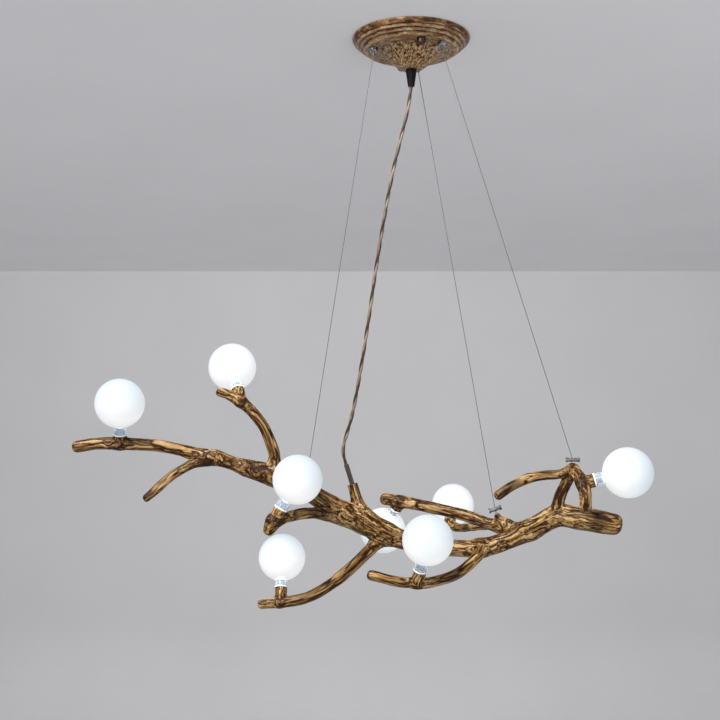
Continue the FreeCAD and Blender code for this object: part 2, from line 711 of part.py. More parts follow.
def cap_nut(spot):
    """Domed nut, blind from above, that pulls the canopy up the stud."""
    body = Part.makeCylinder(CAP_NUT_RADIUS, CAP_NUT_HEIGHT - CAP_NUT_DOME,
                             V(0, 0, CAP_NUT_DOME - CAP_NUT_HEIGHT))
    ball_radius = (CAP_NUT_RADIUS ** 2 + CAP_NUT_DOME ** 2) / (2.0 * CAP_NUT_DOME)
    ball = Part.makeSphere(ball_radius, V(0, 0, ball_radius - CAP_NUT_HEIGHT))
    column = Part.makeCylinder(CAP_NUT_RADIUS, CAP_NUT_DOME, V(0, 0, -CAP_NUT_HEIGHT))
    body = body.fuse(ball.common(column))
    bore = Part.makeCylinder(STUD_RADIUS, STUD_ENGAGEMENT, V(0, 0, -STUD_ENGAGEMENT))
    nut = body.cut(bore)
    nut.translate(spot)
    return nut


def strain_relief():
    """Tapered sleeve on the nipple's lower end, with a wider mouth for the cord."""
    top = -CANOPY_DEPTH - HUB_HEIGHT
    bottom = top - RELIEF_LENGTH
    return turned([
        (RELIEF_TOP_RADIUS, top), (RELIEF_TOP_RADIUS, top - RELIEF_COLLAR),
        (RELIEF_BOTTOM_RADIUS, bottom), (RELIEF_MOUTH_RADIUS, bottom),
        (RELIEF_MOUTH_RADIUS, bottom + RELIEF_MOUTH_DEPTH),
        (NIPPLE_BORE_RADIUS, bottom + RELIEF_MOUTH_DEPTH + RELIEF_MOUTH_TAPER),
        (NIPPLE_BORE_RADIUS, top - RELIEF_SOCKET_DEPTH),
        (NIPPLE_RADIUS, top - RELIEF_SOCKET_DEPTH), (NIPPLE_RADIUS, top),
    ])


def hex_nut(across_corners, bore, height, base):
    nut = Part.Face(Part.makePolygon(
        [on_circle(across_corners, 60 * turn, base) for turn in range(7)]))
    nut = nut.extrude(V(0, 0, height))
    return nut.cut(Part.makeCylinder(bore, height, V(0, 0, base)))


def grip_body():
    """Domed grip under the canopy with a stem through its floor; the floor is z = 0."""
    dome = Part.makeCylinder(GRIP_RADIUS, GRIP_HEIGHT, V(0, 0, -GRIP_HEIGHT))
    lower = [edge for edge in dome.Edges if edge.BoundBox.ZMax < -GRIP_HEIGHT / 2.0]
    dome = dome.makeFillet(GRIP_CORNER, lower)
    stem = Part.makeCylinder(GRIP_STEM_RADIUS, GRIP_STEM_HEIGHT)
    bore = PLUNGER_RADIUS + PLUNGER_CLEARANCE
    depth = GRIP_HEIGHT + GRIP_STEM_HEIGHT
    return dome.fuse(stem).cut(Part.makeCylinder(bore, depth, V(0, 0, -GRIP_HEIGHT)))


def plunger():
    """Spring-loaded nozzle with a flared mouth for the wire."""
    bottom = -GRIP_HEIGHT - PLUNGER_PROUD
    length = PLUNGER_PROUD + PLUNGER_INSIDE
    wire_bore = WIRE_DIAMETER / 2.0 + WIRE_HOLE_CLEARANCE
    solid = tube(PLUNGER_RADIUS, wire_bore, length, V(0, 0, bottom))
    mouth = Part.makeCone(NOZZLE_MOUTH_RADIUS, wire_bore, NOZZLE_MOUTH_DEPTH, V(0, 0, bottom))
    return solid.cut(mouth)


def driver():
    """Case and lid of the 12 volt driver on the canopy's floor."""
    floor = -CANOPY_DEPTH + CANOPY_WALL
    corner = V(-DRIVER_LENGTH / 2.0, DRIVER_Y - DRIVER_WIDTH / 2.0, floor)
    case = Part.makeBox(DRIVER_LENGTH, DRIVER_WIDTH, DRIVER_HEIGHT - DRIVER_WALL, corner)
    wall = V(DRIVER_WALL, DRIVER_WALL, DRIVER_WALL)
    room = Part.makeBox(DRIVER_LENGTH - 2.0 * DRIVER_WALL, DRIVER_WIDTH - 2.0 * DRIVER_WALL,
                        DRIVER_HEIGHT, corner + wall)
    lid = Part.makeBox(DRIVER_LENGTH, DRIVER_WIDTH, DRIVER_WALL,
                       corner + V(0, 0, DRIVER_HEIGHT - DRIVER_WALL))
    save("driver_case", case.cut(room))
    save("driver_lid", lid)


def terminal_block():
    floor = -CANOPY_DEPTH + CANOPY_WALL
    corner = V(TERMINAL_X - TERMINAL_LENGTH / 2.0, TERMINAL_Y - TERMINAL_WIDTH / 2.0, floor)
    block = Part.makeBox(TERMINAL_LENGTH, TERMINAL_WIDTH, TERMINAL_HEIGHT, corner)
    pitch = TERMINAL_LENGTH / TERMINAL_WAYS
    hole_floor = TERMINAL_HEIGHT - TERMINAL_HOLE_DEPTH
    for way in range(TERMINAL_WAYS):
        middle = corner + V(pitch * (way + 0.5), TERMINAL_WIDTH / 2.0, hole_floor)
        for side in (-1, 1):
            hole = middle + V(0, side * TERMINAL_ROW_SPACING / 2.0, 0)
            block = block.cut(Part.makeCylinder(TERMINAL_HOLE_RADIUS, TERMINAL_HOLE_DEPTH, hole))
    save("terminal_block", block)


def canopy_leads():
    """Leads from the terminal block to the driver, and the fixed end of the cord."""
    start = TERMINAL_Y + TERMINAL_WIDTH / 2.0
    length = DRIVER_Y - DRIVER_WIDTH / 2.0 - start
    height = -CANOPY_DEPTH + CANOPY_WALL + DRIVER_HEIGHT / 2.0
    leads = []
    for index in (0, 1):
        base = V(TERMINAL_X - LEAD_SPACING * (0.5 + index), start, height)
        leads.append(Part.makeCylinder(LEAD_RADIUS, length, base, V(0, 1, 0)))
    mouth = -CANOPY_DEPTH - HUB_HEIGHT - RELIEF_LENGTH + RELIEF_MOUTH_DEPTH
    tail_top = -CANOPY_DEPTH + CANOPY_WALL + NIPPLE_NUT_HEIGHT + CORD_TAIL_PROUD
    leads.append(Part.makeCylinder(CORD_DIAMETER / 2.0, tail_top - mouth, V(0, 0, mouth)))
    save("canopy_leads", *leads)


def ceiling():
    floor_top = -CANOPY_DEPTH + CANOPY_WALL
    save("ceiling_bar", slotted_bar())
    save("stud_bar", stud_bar())
    save("centre_bush", tube(BUSH_BORE / 2.0 + BUSH_WALL, BUSH_BORE / 2.0,
                             2.0 * BAR_THICKNESS, V(0, 0, -2.0 * BAR_THICKNESS)))
    foot = -CANOPY_DEPTH - STUD_ENGAGEMENT
    length = -BAR_THICKNESS - foot
    save("canopy_studs", *[Part.makeCylinder(STUD_RADIUS, length, spot)
                           for spot in stud_spots(foot)])
    save("canopy_shell", canopy_shell())
    save("canopy_hub", canopy_hub())
    save("cap_nuts", *[cap_nut(spot) for spot in stud_spots(-CANOPY_DEPTH)])

    nipple_foot = -CANOPY_DEPTH - HUB_HEIGHT - RELIEF_SOCKET_DEPTH
    nipple_top = floor_top + NIPPLE_NUT_HEIGHT + NIPPLE_PROUD
    save("hub_nipple", tube(NIPPLE_RADIUS, NIPPLE_BORE_RADIUS, nipple_top - nipple_foot,
                            V(0, 0, nipple_foot)))
    save("nipple_nut", hex_nut(NIPPLE_NUT_RADIUS, NIPPLE_RADIUS, NIPPLE_NUT_HEIGHT, floor_top))
    save("strain_relief", strain_relief())
    driver()
    terminal_block()
    canopy_leads()

    grips = grip_spots(-CANOPY_DEPTH)
    body, pin = grip_body(), plunger()
    nut = hex_nut(GRIP_NUT_RADIUS, GRIP_STEM_RADIUS, GRIP_NUT_HEIGHT, CANOPY_WALL)
    save("wire_grips", *[body.translated(spot) for spot in grips])
    save("grip_nuts", *[nut.translated(spot) for spot in grips])
    for number, spot in enumerate(grips, 1):
        save("grip_plunger_%d" % number, pin.translated(spot))


os.makedirs(PARTS_FOLDER, exist_ok=True)
ceiling()
suspension()
power_cord()
branch()
lamps()
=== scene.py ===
import bpy
import math
import numpy as np
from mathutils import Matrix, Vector, noise


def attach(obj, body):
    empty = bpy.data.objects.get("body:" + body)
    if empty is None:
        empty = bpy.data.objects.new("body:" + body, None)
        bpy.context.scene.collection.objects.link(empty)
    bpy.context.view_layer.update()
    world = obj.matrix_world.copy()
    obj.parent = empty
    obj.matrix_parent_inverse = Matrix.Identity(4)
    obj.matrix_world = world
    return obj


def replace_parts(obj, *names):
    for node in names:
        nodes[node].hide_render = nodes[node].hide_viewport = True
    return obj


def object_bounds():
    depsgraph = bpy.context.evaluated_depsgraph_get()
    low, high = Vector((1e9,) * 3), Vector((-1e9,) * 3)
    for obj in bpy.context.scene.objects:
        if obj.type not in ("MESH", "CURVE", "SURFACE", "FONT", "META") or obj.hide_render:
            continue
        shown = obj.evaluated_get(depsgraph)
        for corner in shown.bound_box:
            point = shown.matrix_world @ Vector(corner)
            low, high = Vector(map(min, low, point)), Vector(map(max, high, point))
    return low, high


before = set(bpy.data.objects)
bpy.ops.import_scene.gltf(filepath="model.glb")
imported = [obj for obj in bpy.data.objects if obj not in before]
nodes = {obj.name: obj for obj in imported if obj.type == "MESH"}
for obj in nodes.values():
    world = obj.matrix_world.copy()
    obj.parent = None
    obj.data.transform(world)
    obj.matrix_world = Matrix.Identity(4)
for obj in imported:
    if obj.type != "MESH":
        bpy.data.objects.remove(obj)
cad_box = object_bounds()

# -------------------- ceiling bars and studs
# Two crossed strips of zinc-plated steel on a short bush: the upper one is screwed to the
# ceiling, the lower one carries the studs that the canopy hangs on. Pressed and bent parts.
ZINC = (0.56, 0.57, 0.58)
ZINC_DULL = (0.40, 0.41, 0.43)


def fill(node, inputs):
    """Sets inputs of a node: a socket is linked in, anything else becomes the input's value."""
    for key, value in inputs.items():
        if isinstance(value, bpy.types.NodeSocket):
            node.id_data.links.new(value, node.inputs[key])
        else:
            node.inputs[key].default_value = value


def node_maker(tree):
    """A function that makes a node in the tree from its kind, its inputs and its settings."""
    def node(kind, inputs=None, **settings):
        made = tree.nodes.new(kind)
        for key, value in settings.items():
            setattr(made, key, value)
        fill(made, inputs or {})
        return made
    return node


def finish_of(name):
    """A new procedural finish: the material, its node maker, a coordinate and its shader."""
    material = bpy.data.materials.new(name)
    material.use_nodes = True
    node = node_maker(material.node_tree)
    place = node("ShaderNodeTexCoord").outputs["Object"]
    return material, node, place, material.node_tree.nodes["Principled BSDF"]


def grain_noise(node, source, scale, detail=4.0, stretch=None, swirl=0.0):
    """Noise on a coordinate socket, stretched along an axis when stretch is given."""
    if stretch:
        mapping = node("ShaderNodeMapping", {"Scale": stretch, "Vector": source})
        source = mapping.outputs["Vector"]
    made = node("ShaderNodeTexNoise", {
        "Scale": scale, "Detail": detail, "Distortion": swirl, "Vector": source})
    return made.outputs["Fac"]


def colour_steps(node, source, steps):
    """Colours along a value: (place, colour) pairs."""
    ramp = node("ShaderNodeValToRGB", {"Fac": source})
    band = ramp.color_ramp
    band.elements[0].position, band.elements[1].position = steps[0][0], steps[-1][0]
    for place, _ in steps[1:-1]:
        band.elements.new(place)
    for element, (_, colour) in zip(band.elements, steps):
        element.color = (*colour, 1.0)
    return ramp.outputs["Color"]


def spread(node, source, low, high):
    """A value from 0 to 1 turned into one from low to high."""
    made = node("ShaderNodeMapRange", {"To Min": low, "To Max": high, "Value": source})
    return made.outputs["Result"]


def bumped(node, shader, source, strength, distance):
    """Gives a shader the fine relief of a value."""
    bump = node("ShaderNodeBump", {"Strength": strength, "Distance": distance, "Height": source})
    fill(shader, {"Normal": bump.outputs["Normal"]})


def two_tone(name, scale, detail, dark, light, gloss, inputs, stretch=None):
    """A finish of two near tones over noise, and the parts that a bump on it needs."""
    material, node, place, shader = finish_of(name)
    grain = grain_noise(node, place, scale, detail, stretch)
    fill(shader, {
        "Base Color": colour_steps(node, grain, [(0.3, dark), (0.7, light)]),
        "Roughness": spread(node, grain, *gloss), **inputs,
    })
    return material, node, place, shader, grain


def plain_finish(name, light, dark, metallic, roughness, scale, stretch=None, bump=0.0002):
    """Finely grained metal or moulded plastic."""
    material, node, _, shader, grain = two_tone(
        name, scale, 4.0, dark, light, (roughness * 0.75, roughness * 1.25),
        {"Metallic": metallic}, stretch)
    bumped(node, shader, grain, 0.3, bump)
    return material


def dress(material, *names):
    """Puts a finish on CAD pieces."""
    for name in names:
        slots = nodes[name].data.materials
        slots.clear()
        slots.append(material)


zinc = plain_finish("zinc_plate", ZINC, ZINC_DULL, 1.0, 0.38, 240.0, stretch=(1.0, 6.0, 1.0))
dress(zinc, "ceiling_bar", "stud_bar", "centre_bush", "canopy_studs", "hub_nipple",
      "nipple_nut", "grip_nuts", "trunk_core")

# -------------------- driver and terminal block
# The 12 volt driver and the mains terminal block stand on the canopy's floor, out of sight.
# Both are moulded in white plastic; the leads between them are grey.
white_plastic = plain_finish(
    "white_moulding", (0.80, 0.80, 0.77), (0.74, 0.74, 0.71), 0.0, 0.45, 900.0)
cream_plastic = plain_finish(
    "cream_moulding", (0.84, 0.81, 0.70), (0.78, 0.75, 0.64), 0.0, 0.4, 900.0)
lead_grey = plain_finish("lead_jacket", (0.30, 0.29, 0.28), (0.22, 0.21, 0.20), 0.0, 0.5, 700.0)
dress(white_plastic, "driver_case", "driver_lid")
dress(cream_plastic, "terminal_block")
dress(lead_grey, "canopy_leads")

# -------------------- limbs of the branch
# Round limbs of cast resin, the trunk over a steel core, with the look of wood: long grain on
# the straight runs, gnarled where limbs meet. Painted umber, tan on the ridges, lacquered.
# the creases, hollows and seams where limbs meet are darkened with painted shade
DATUM_HEIGHT = -0.820
RING_STEP = 0.0016
SKIN_STEP = 0.0014
GRAIN_STRETCH = 11.0
LIMB_BLEND = 0.017
POST_BLEND = 0.006
CROWN_BLEND = 0.007
GNARL_REACH = 0.024
JOINT_SHADE_REACH = 0.0035
LUMP_SCALE = 36.0
PATCH_SCALE = 22.0
STRAY_SCALE = 55.0
GROOVE_SCALE = 215.0
FIBRE_SCALE = 520.0
STRAY_PLAIN = 0.0010
STRAY_GNARLED = 0.0052
LUMP_HEIGHT = 0.0009
GROOVE_DEPTH = 0.00030
FIBRE_DEPTH = 0.00016
CREASE_DEPTH = 0.00016
GNARLED_CREASE_DEPTH = 0.00050
HOLLOW_DEPTH = 0.0022
BOX_MARGIN = 0.0001
INNER_BOX = [np.array(cad_box[0]) + BOX_MARGIN, np.array(cad_box[1]) - BOX_MARGIN]
UMBER = (0.016, 0.005, 0.001)
DARK_BROWN = (0.057, 0.023, 0.005)
BROWN = (0.128, 0.065, 0.018)
PALE_BROWN = (0.205, 0.118, 0.040)
TAN = (0.400, 0.272, 0.130)
# vector noise starts from the clock unless it is seeded; it sways the bark's lines
NOISE_SEED = 1795572839
noise.seed_set(NOISE_SEED)


def from_datum(station):
    return np.array([station[0], station[1], station[2]]) / 1000.0 + (0, 0, DATUM_HEIGHT)


def smooth_line(stations):
    """Points every ring step along a smooth line through the stations, with their radii."""
    knots = np.array([[*from_datum(s), s[3] / 2000.0] for s in stations])
    first = 2 * knots[0] - knots[1]
    last = 2 * knots[-1] - knots[-2]
    padded = np.vstack([first, knots, last])
    made = []
    for a, b, c, d in zip(padded, padded[1:], padded[2:], padded[3:]):
        count = max(2, int(np.linalg.norm((c - b)[:3]) / RING_STEP))
        for t in np.arange(count) / count:
            made.append(0.5 * (2 * b + (c - a) * t + (2 * a - 5 * b + 4 * c - d) * t * t
                               + (3 * b - a - 3 * c + d) * t ** 3))
    made.append(knots[-1])
    made = np.array(made)
    return made[:, :3], made[:, 3]


def round_off(line, radii, bluntness):
    """Adds the rings that close a free end; a bluntness of 2 is a half ball."""
    way = line[-1] - line[-3]
    way /= np.linalg.norm(way)
    radius = radii[-1]
    turns = np.linspace(0, 1, 12)[1:]
    reach = np.sin(turns * math.pi / 2)
    size = np.maximum(1 - reach ** bluntness, 0) ** (1 / bluntness)
    return np.vstack([line, line[-1] + np.outer(reach, way) * radius]), \
        np.concatenate([radii, radius * size])


def carried_frames(line):
    """Two cross directions at each point, carried along the line without twisting."""
    ways = np.gradient(line, axis=0)
    ways /= np.linalg.norm(ways, axis=1)[:, None]
    across = np.cross(ways[0], (0.13, 0.2, 0.97))
    sides = [across / np.linalg.norm(across)]
    for way in ways[1:]:
        side = sides[-1] - way * sides[-1].dot(way)
        sides.append(side / np.linalg.norm(side))
    sides = np.array(sides)
    return sides, np.cross(ways, sides)


def rings_round(sides, ups, count):
    """The turns of count points on a ring, and the ways out to them at each place of a line."""
    turns = np.linspace(0, 2 * math.pi, count, endpoint=False)
    return turns, (np.cos(turns)[None, :, None] * sides[:, None, :]
                   + np.sin(turns)[None, :, None] * ups[:, None, :])


class Rod:
    """One round run of a limb: its rings before they are blended into the other runs."""

    def __init__(self, stations, blunt_start=None, blunt_end=None, reach=LIMB_BLEND):
        line, radii = smooth_line(stations)
        self.reach = reach
        self.body_line, self.body_radii = line[::2], radii[::2]
        if blunt_end:
            line, radii = round_off(line, radii, blunt_end)
        if blunt_start:
            line, radii = round_off(line[::-1], radii[::-1], blunt_start)
            line, radii = line[::-1], radii[::-1]
        self.line, self.radii = line, radii
        self.sides, self.ups = carried_frames(line)
        self.count = max(24, int(2 * math.pi * radii.max() / SKIN_STEP))
        steps = np.linalg.norm(np.diff(line, axis=0), axis=1)
        self.run = np.concatenate([[0], np.cumsum(steps)])

    def gap(self, points):
        """Distance of points to this run's surface, and the way from its middle line."""
        nearest = np.full(len(points), 9.0)
        away = np.zeros((len(points), 3))
        for centre, radius in zip(self.body_line, self.body_radii):
            offset = points - centre
            length = np.linalg.norm(offset, axis=1)
            better = length - radius < nearest
            nearest = np.where(better, length - radius, nearest)
            away[better] = offset[better] / np.maximum(length[better], 1e-6)[:, None]
        return nearest, away

    def points(self):
        turns, out = rings_round(self.sides, self.ups, self.count)
        middle = np.repeat(self.line, self.count, axis=0)
        size = np.repeat(self.radii, self.count)
        around = np.tile(turns, len(self.line))
        along = np.repeat(self.run, self.count)
        return middle, out.reshape(-1, 3), size, around, along


def carve(rod, neighbours, seed):
    """The run's surface: blended into its neighbours, grooved along the grain, gnarled at joints."""
    middle, out, size, around, along = rod.points()
    lean = np.zeros_like(out)
    lift = np.zeros(len(out))
    gnarl = np.zeros(len(out))
    hollow = np.zeros(len(out))
    joint_shade = np.zeros(len(out))
    shift = np.zeros(len(out))
    relief = np.zeros(len(out))
    skin = middle + out * size[:, None]
    for other in neighbours:
        reach = min(rod.reach, other.reach)
        gap, away = other.gap(skin)
        near = np.clip(1 - np.abs(gap) / reach, 0, 1) ** 2
        lift = np.maximum(lift, near * reach / 4)
        lean += away * near[:, None] * 0.6
        # painted shade: the bark is darkened within a few millimetres of where another limb meets it
        joint_shade = np.maximum(joint_shade, np.clip(1 - np.abs(gap) / JOINT_SHADE_REACH, 0, 1))
        gnarl = np.maximum(gnarl, np.clip(1.1 - np.abs(gap) / GNARL_REACH, 0, 1))
    for scar in SCARS:
        apart = np.linalg.norm(skin - scar, axis=1)
        gnarl = np.maximum(gnarl, np.clip(1.2 - apart / GNARL_REACH, 0, 1))
    for spot in HOLLOWS:
        apart = np.linalg.norm(skin - spot, axis=1)
        hollow = np.maximum(hollow, np.clip(1.3 - apart / HOLLOW_RADIUS, 0, 1))
    taper = np.clip(size / max(rod.body_radii.min(), 1e-4), 0, 1)
    direction = out + lean
    direction /= np.linalg.norm(direction, axis=1)[:, None]
    grain = np.stack([np.cos(around) * size, np.sin(around) * size, along / GRAIN_STRETCH], axis=1)
    grain += seed * 0.37
    for index in range(len(out)):
        place = Vector(skin[index])
        lump = noise.noise(place * LUMP_SCALE)
        patch = noise.noise(place * PATCH_SCALE + Vector((7.0, seed, 3.0)))
        wild = min(1.0, max(gnarl[index], patch * 1.8 - 0.4, 0.0))
        stray = noise.noise_vector(place * STRAY_SCALE) * (STRAY_PLAIN + STRAY_GNARLED * wild)
        lines = Vector(grain[index]) + stray
        groove = noise.noise(lines * GROOVE_SCALE)
        crease = max(0.0, 1.0 - abs(groove) * 5.5)
        fibre = noise.noise(lines * FIBRE_SCALE)
        fine = GROOVE_DEPTH * groove + FIBRE_DEPTH * fibre
        fine -= crease * (CREASE_DEPTH + GNARLED_CREASE_DEPTH * wild)
        shift[index] = (LUMP_HEIGHT * lump + fine) * taper[index] - HOLLOW_DEPTH * hollow[index]
        # the relief value sets the bark's colour: ridges lighter as rubbed paint, creases darker as
        # painted shade
        relief[index] = 0.66 + 0.35 * groove + 0.2 * fibre - 0.85 * crease + 0.3 * lump
        # painted shade: darker still in the hollows and at the seams where limbs meet
        relief[index] -= hollow[index] + 0.35 * joint_shade[index]
        grain[index] = lines
        gnarl[index] = wild
    skin = skin + direction * (lift + shift)[:, None]
    return np.clip(skin, *INNER_BOX), grain, relief, gnarl


def shell_faces(rings, count, start):
    """The quads between rings of count points; start is the first ring's first point."""
    faces = []
    for ring in range(rings - 1):
        base = start + ring * count
        for turn in range(count):
            ahead = (turn + 1) % count
            faces.append((base + turn, base + ahead, base + count + ahead, base + count + turn))
    return faces


def smooth_mesh(name, verts, faces):
    mesh = bpy.data.meshes.new(name)
    mesh.from_pydata([tuple(vert) for vert in verts], [], faces)
    mesh.polygons.foreach_set("use_smooth", [True] * len(faces))
    mesh.update()
    return mesh


def put_in(name, data):
    """An object with this mesh, curve, light or camera, put into the scene at the origin."""
    made = bpy.data.objects.new(name, data)
    bpy.context.scene.collection.objects.link(made)
    return made


def limb_piece(name, rods, joined, seed):
    """One limb of several runs as a mesh with its grain, relief and gnarled places stored."""
    verts, faces, grain, relief, gnarl = [], [], [], [], []
    for index, rod in enumerate(rods):
        near = [other for other in rods if other is not rod] + joined
        skin, lines, high, wild = carve(rod, near, seed + index * 0.31)
        start = len(verts)
        verts.extend(skin)
        grain.extend(lines)
        relief.extend(high)
        gnarl.extend(wild)
        faces.extend(shell_faces(len(rod.line), rod.count, start))
        for ring, order in ((0, -1), (len(rod.line) - 1, 1)):
            base = start + ring * rod.count
            pole = len(verts)
            verts.append(skin[ring * rod.count:(ring + 1) * rod.count].mean(axis=0))
            grain.append(lines[ring * rod.count])
            relief.append(0.35)
            gnarl.append(0.6)
            for turn in range(rod.count):
                pair = (base + turn, base + (turn + 1) % rod.count)
                faces.append((*pair[::order], pole))
    mesh = smooth_mesh(name, verts, faces)
    layer = mesh.attributes.new("grain", "FLOAT_VECTOR", "POINT")
    layer.data.foreach_set("vector", np.array(grain, dtype=np.float32).ravel())
    for key, values in (("relief", relief), ("gnarl", gnarl)):
        layer = mesh.attributes.new(key, "FLOAT", "POINT")
        layer.data.foreach_set("value", np.clip(np.array(values, dtype=np.float32), 0, 1))
    mesh.update()
    piece = put_in(name, mesh)
    mesh.materials.append(bark)
    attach(piece, "branch_frame")
    return piece


def worked_out(node, operation, *values):
    """What a maths node makes of sockets or plain numbers."""
    return node("ShaderNodeMath", dict(enumerate(values)), operation=operation).outputs[0]


def mixed(node, first, share, second):
    """first times share, plus second."""
    return worked_out(node, "MULTIPLY_ADD", first, share, second)


def bark_finish():
    """Painted bark: brown on the flats and rubbed to tan on the ridges, with painted shade darkening
    the grooves, hollows and limb seams.
    """
    material, node, place, shader = finish_of("painted_bark")
    lines = node("ShaderNodeAttribute", attribute_name="grain").outputs["Vector"]
    relief = node("ShaderNodeAttribute", attribute_name="relief").outputs["Fac"]
    gnarl = node("ShaderNodeAttribute", attribute_name="gnarl").outputs["Fac"]
    streak = grain_noise(node, lines, 330.0, 6.0)
    hair = grain_noise(node, lines, 900.0, 3.0)
    patch = grain_noise(node, place, 34.0, 3.0)
    scar = grain_noise(node, place, 210.0, 4.0, swirl=1.2)
    scarred = worked_out(node, "MULTIPLY", mixed(node, scar, 0.9, -0.43), gnarl)
    # the relief attribute carries rubbed paint on the ridges and painted shade in creases, hollows
    # and seams
    depth = mixed(node, relief, 0.62, -0.52)
    for value, share in ((streak, 0.65), (hair, 0.55), (patch, 0.15), (scarred, 1.0)):
        depth = mixed(node, value, share, depth)
    tones = [(0.24, UMBER), (0.38, DARK_BROWN), (0.48, BROWN), (0.60, PALE_BROWN), (0.80, TAN)]
    fill(shader, {
        "Base Color": colour_steps(node, depth, tones),
        "Roughness": spread(node, streak, 0.38, 0.58),
        "Specular IOR Level": 0.12, "Coat Weight": 0.07, "Coat Roughness": 0.16,
    })
    bumped(node, shader, depth, 0.5, 0.0009)
    return material


bark = bark_finish()

TRUNK = [
    (317, -61, -3, 35), (300, -57, 0, 37), (266, -47, 5, 37), (233, -35, 7, 37),
    (193, -17, -17, 33), (153, -5, -36, 31), (112, 1, -48, 30), (62, 3, -48, 28),
    (21, 3, -42, 30), (-16, 3, -35, 32), (-46, 2, -23, 37), (-80, -1, -5, 42),
    (-113, -5, 9, 39), (-154, -12, 34, 33), (-187, -18, 54, 30), (-232, -25, 73, 28),
    (-273, -29, 85, 19),
]
FAR_LEFT = [
    (-187, -18, 54, 29), (-232, -25, 73, 27.8), (-273, -29, 85, 24), (-324, -34, 102, 22),
    (-365, -38, 111, 20), (-416, -42, 122, 19.5), (-480, -47, 126, 21), (-515, -49, 126, 20),
    (-547, -51, 121, 20),
]
LEFT_TWIG = [
    (-324, -34, 102, 15), (-344, -38, 96, 15), (-364, -43, 91, 15), (-394, -49, 74, 14.5),
    (-418, -55, 52, 14.5), (-432, -59, 39, 14),
]
FORK_LIMB = [
    (-232, -25, 73, 23), (-229, -27, 103, 20), (-234, -31, 124, 19), (-246, -37, 153, 18),
    (-266, -45, 179, 18.5), (-283, -51, 194, 19), (-303, -55, 205, 16), (-315, -57, 209, 15),
]
LOW_LEFT_LIMB = [
    (-113, -5, 9, 22), (-138, -19, 7, 19), (-162, -35, 12, 18.5), (-185, -51, 12, 18),
    (-205, -65, 8, 18), (-226, -76, 3, 18),
]
LOW_LEFT_KNOB = [(-226, -76, 3, 18), (-229.5, -75.8, -4.2, 18), (-233, -75.5, -11.3, 18)]
HANGING_LIMB = [
    (-46, 2, -23, 26), (-62, 4, -42, 21), (-84, 9, -64, 20), (-110, 15, -89, 20),
    (-139, 20, -112, 19), (-170, 23, -130, 19), (-201, 24, -139, 19), (-222, 24, -141, 18.5),
    (-252, 24, -144, 16),
]
LONG_BACK_LIMB = [
    (193, -17, -17, 24), (162, 23, -17, 21), (131, 40, -11, 20.5), (94, 55, 1, 20),
    (51, 66, 11, 20), (8, 74, 20, 20), (-18, 76, 24, 21), (-43, 78, 28, 20.5),
]
CUT_TWIG = [(-322, -34, 103, 16), (-319, -44, 99, 15.5), (-317.5, -50, 96.5, 15)]
WIRE_STUB = [(162, 23, -17, 22), (154, 24, -10, 18), (148, 23, -3, 13), (143, 22, 6, 9.5)]
SHORT_BACK_LIMB = [
    (162, 23, -17, 18), (145, 62, -15, 15), (119, 118, -23, 15), (93, 175, -30, 16),
    (78, 205, -24, 18),
]
FRONT_LIMB = [
    (112, 1, -48, 21), (107, -27, -56, 18), (90, -51, -68, 17), (64, -69, -83, 17),
    (31, -81, -92, 17), (2, -87, -94, 17.5), (-33, -91, -90, 17), (-69, -95, -81, 16.5),
]
STRUT_LIMB = [
    (233, -35, 7, 21), (234, -43, 24, 19.5), (238, -51, 43, 19), (247, -60, 65, 18.5),
    (255, -67, 84, 19),
]
ARCH_LIMB = [
    (255, -67, 84, 18), (235, -64, 77, 16), (211, -61, 75, 16), (186, -59, 70, 16),
    (159, -57, 58, 16), (137, -56, 43, 15.5),
]
RIGHT_LIMB = [
    (255, -67, 84, 19), (260, -88, 74, 20), (263, -99, 64, 20), (266, -106, 48, 20),
    (266, -110, 28, 19),
]
CORD_STUB = [(-80, -1, -5, 26), (-88, -2, 18, 20), (-95.4, -2, 40, 18), (-101, -2, 58, 18)]

# the lamps' stations, the height of each seat over its station and the way it points
LAMP_STATIONS = [
    FAR_LEFT[6], FORK_LIMB[5], LOW_LEFT_LIMB[5], HANGING_LIMB[7],
    LONG_BACK_LIMB[6], SHORT_BACK_LIMB[4], FRONT_LIMB[5], RIGHT_LIMB[2],
]
SEAT_HEIGHTS = [15.5, 26.5, 21.7, 24.7, 16.0, 14.5, 22.0, 19.0]
LAMP_TILTS = [
    (0.06, -0.36, 0.93), (-0.25, 0.62, 0.74), (0.50, -0.01, 0.86), (0.0, 0.43, 0.90),
    (-0.42, 0.50, -0.76), (0.18, 0.88, 0.44), (0.21, -0.34, 0.92), (0.93, -0.12, 0.22),
]
SEAT_DIAMETER = 21.2


def lamp_axis(number):
    axis = np.array(LAMP_TILTS[number])
    return axis / np.linalg.norm(axis)


def lamp_seat(number):
    return from_datum(LAMP_STATIONS[number]) + lamp_axis(number) * SEAT_HEIGHTS[number] / 1000.0


def lamp_post(number):
    """The knob of a limb under a lamp, as a short run with a flat top."""
    station = LAMP_STATIONS[number]
    axis = lamp_axis(number)
    made = []
    for share in (0.0, 0.3, 0.6, 0.85, 0.995):
        place = np.array(station[:3]) + axis * SEAT_HEIGHTS[number] * share
        made.append((*place, station[3] * (1 - share) + SEAT_DIAMETER * share))
    return Rod(made, reach=POST_BLEND)


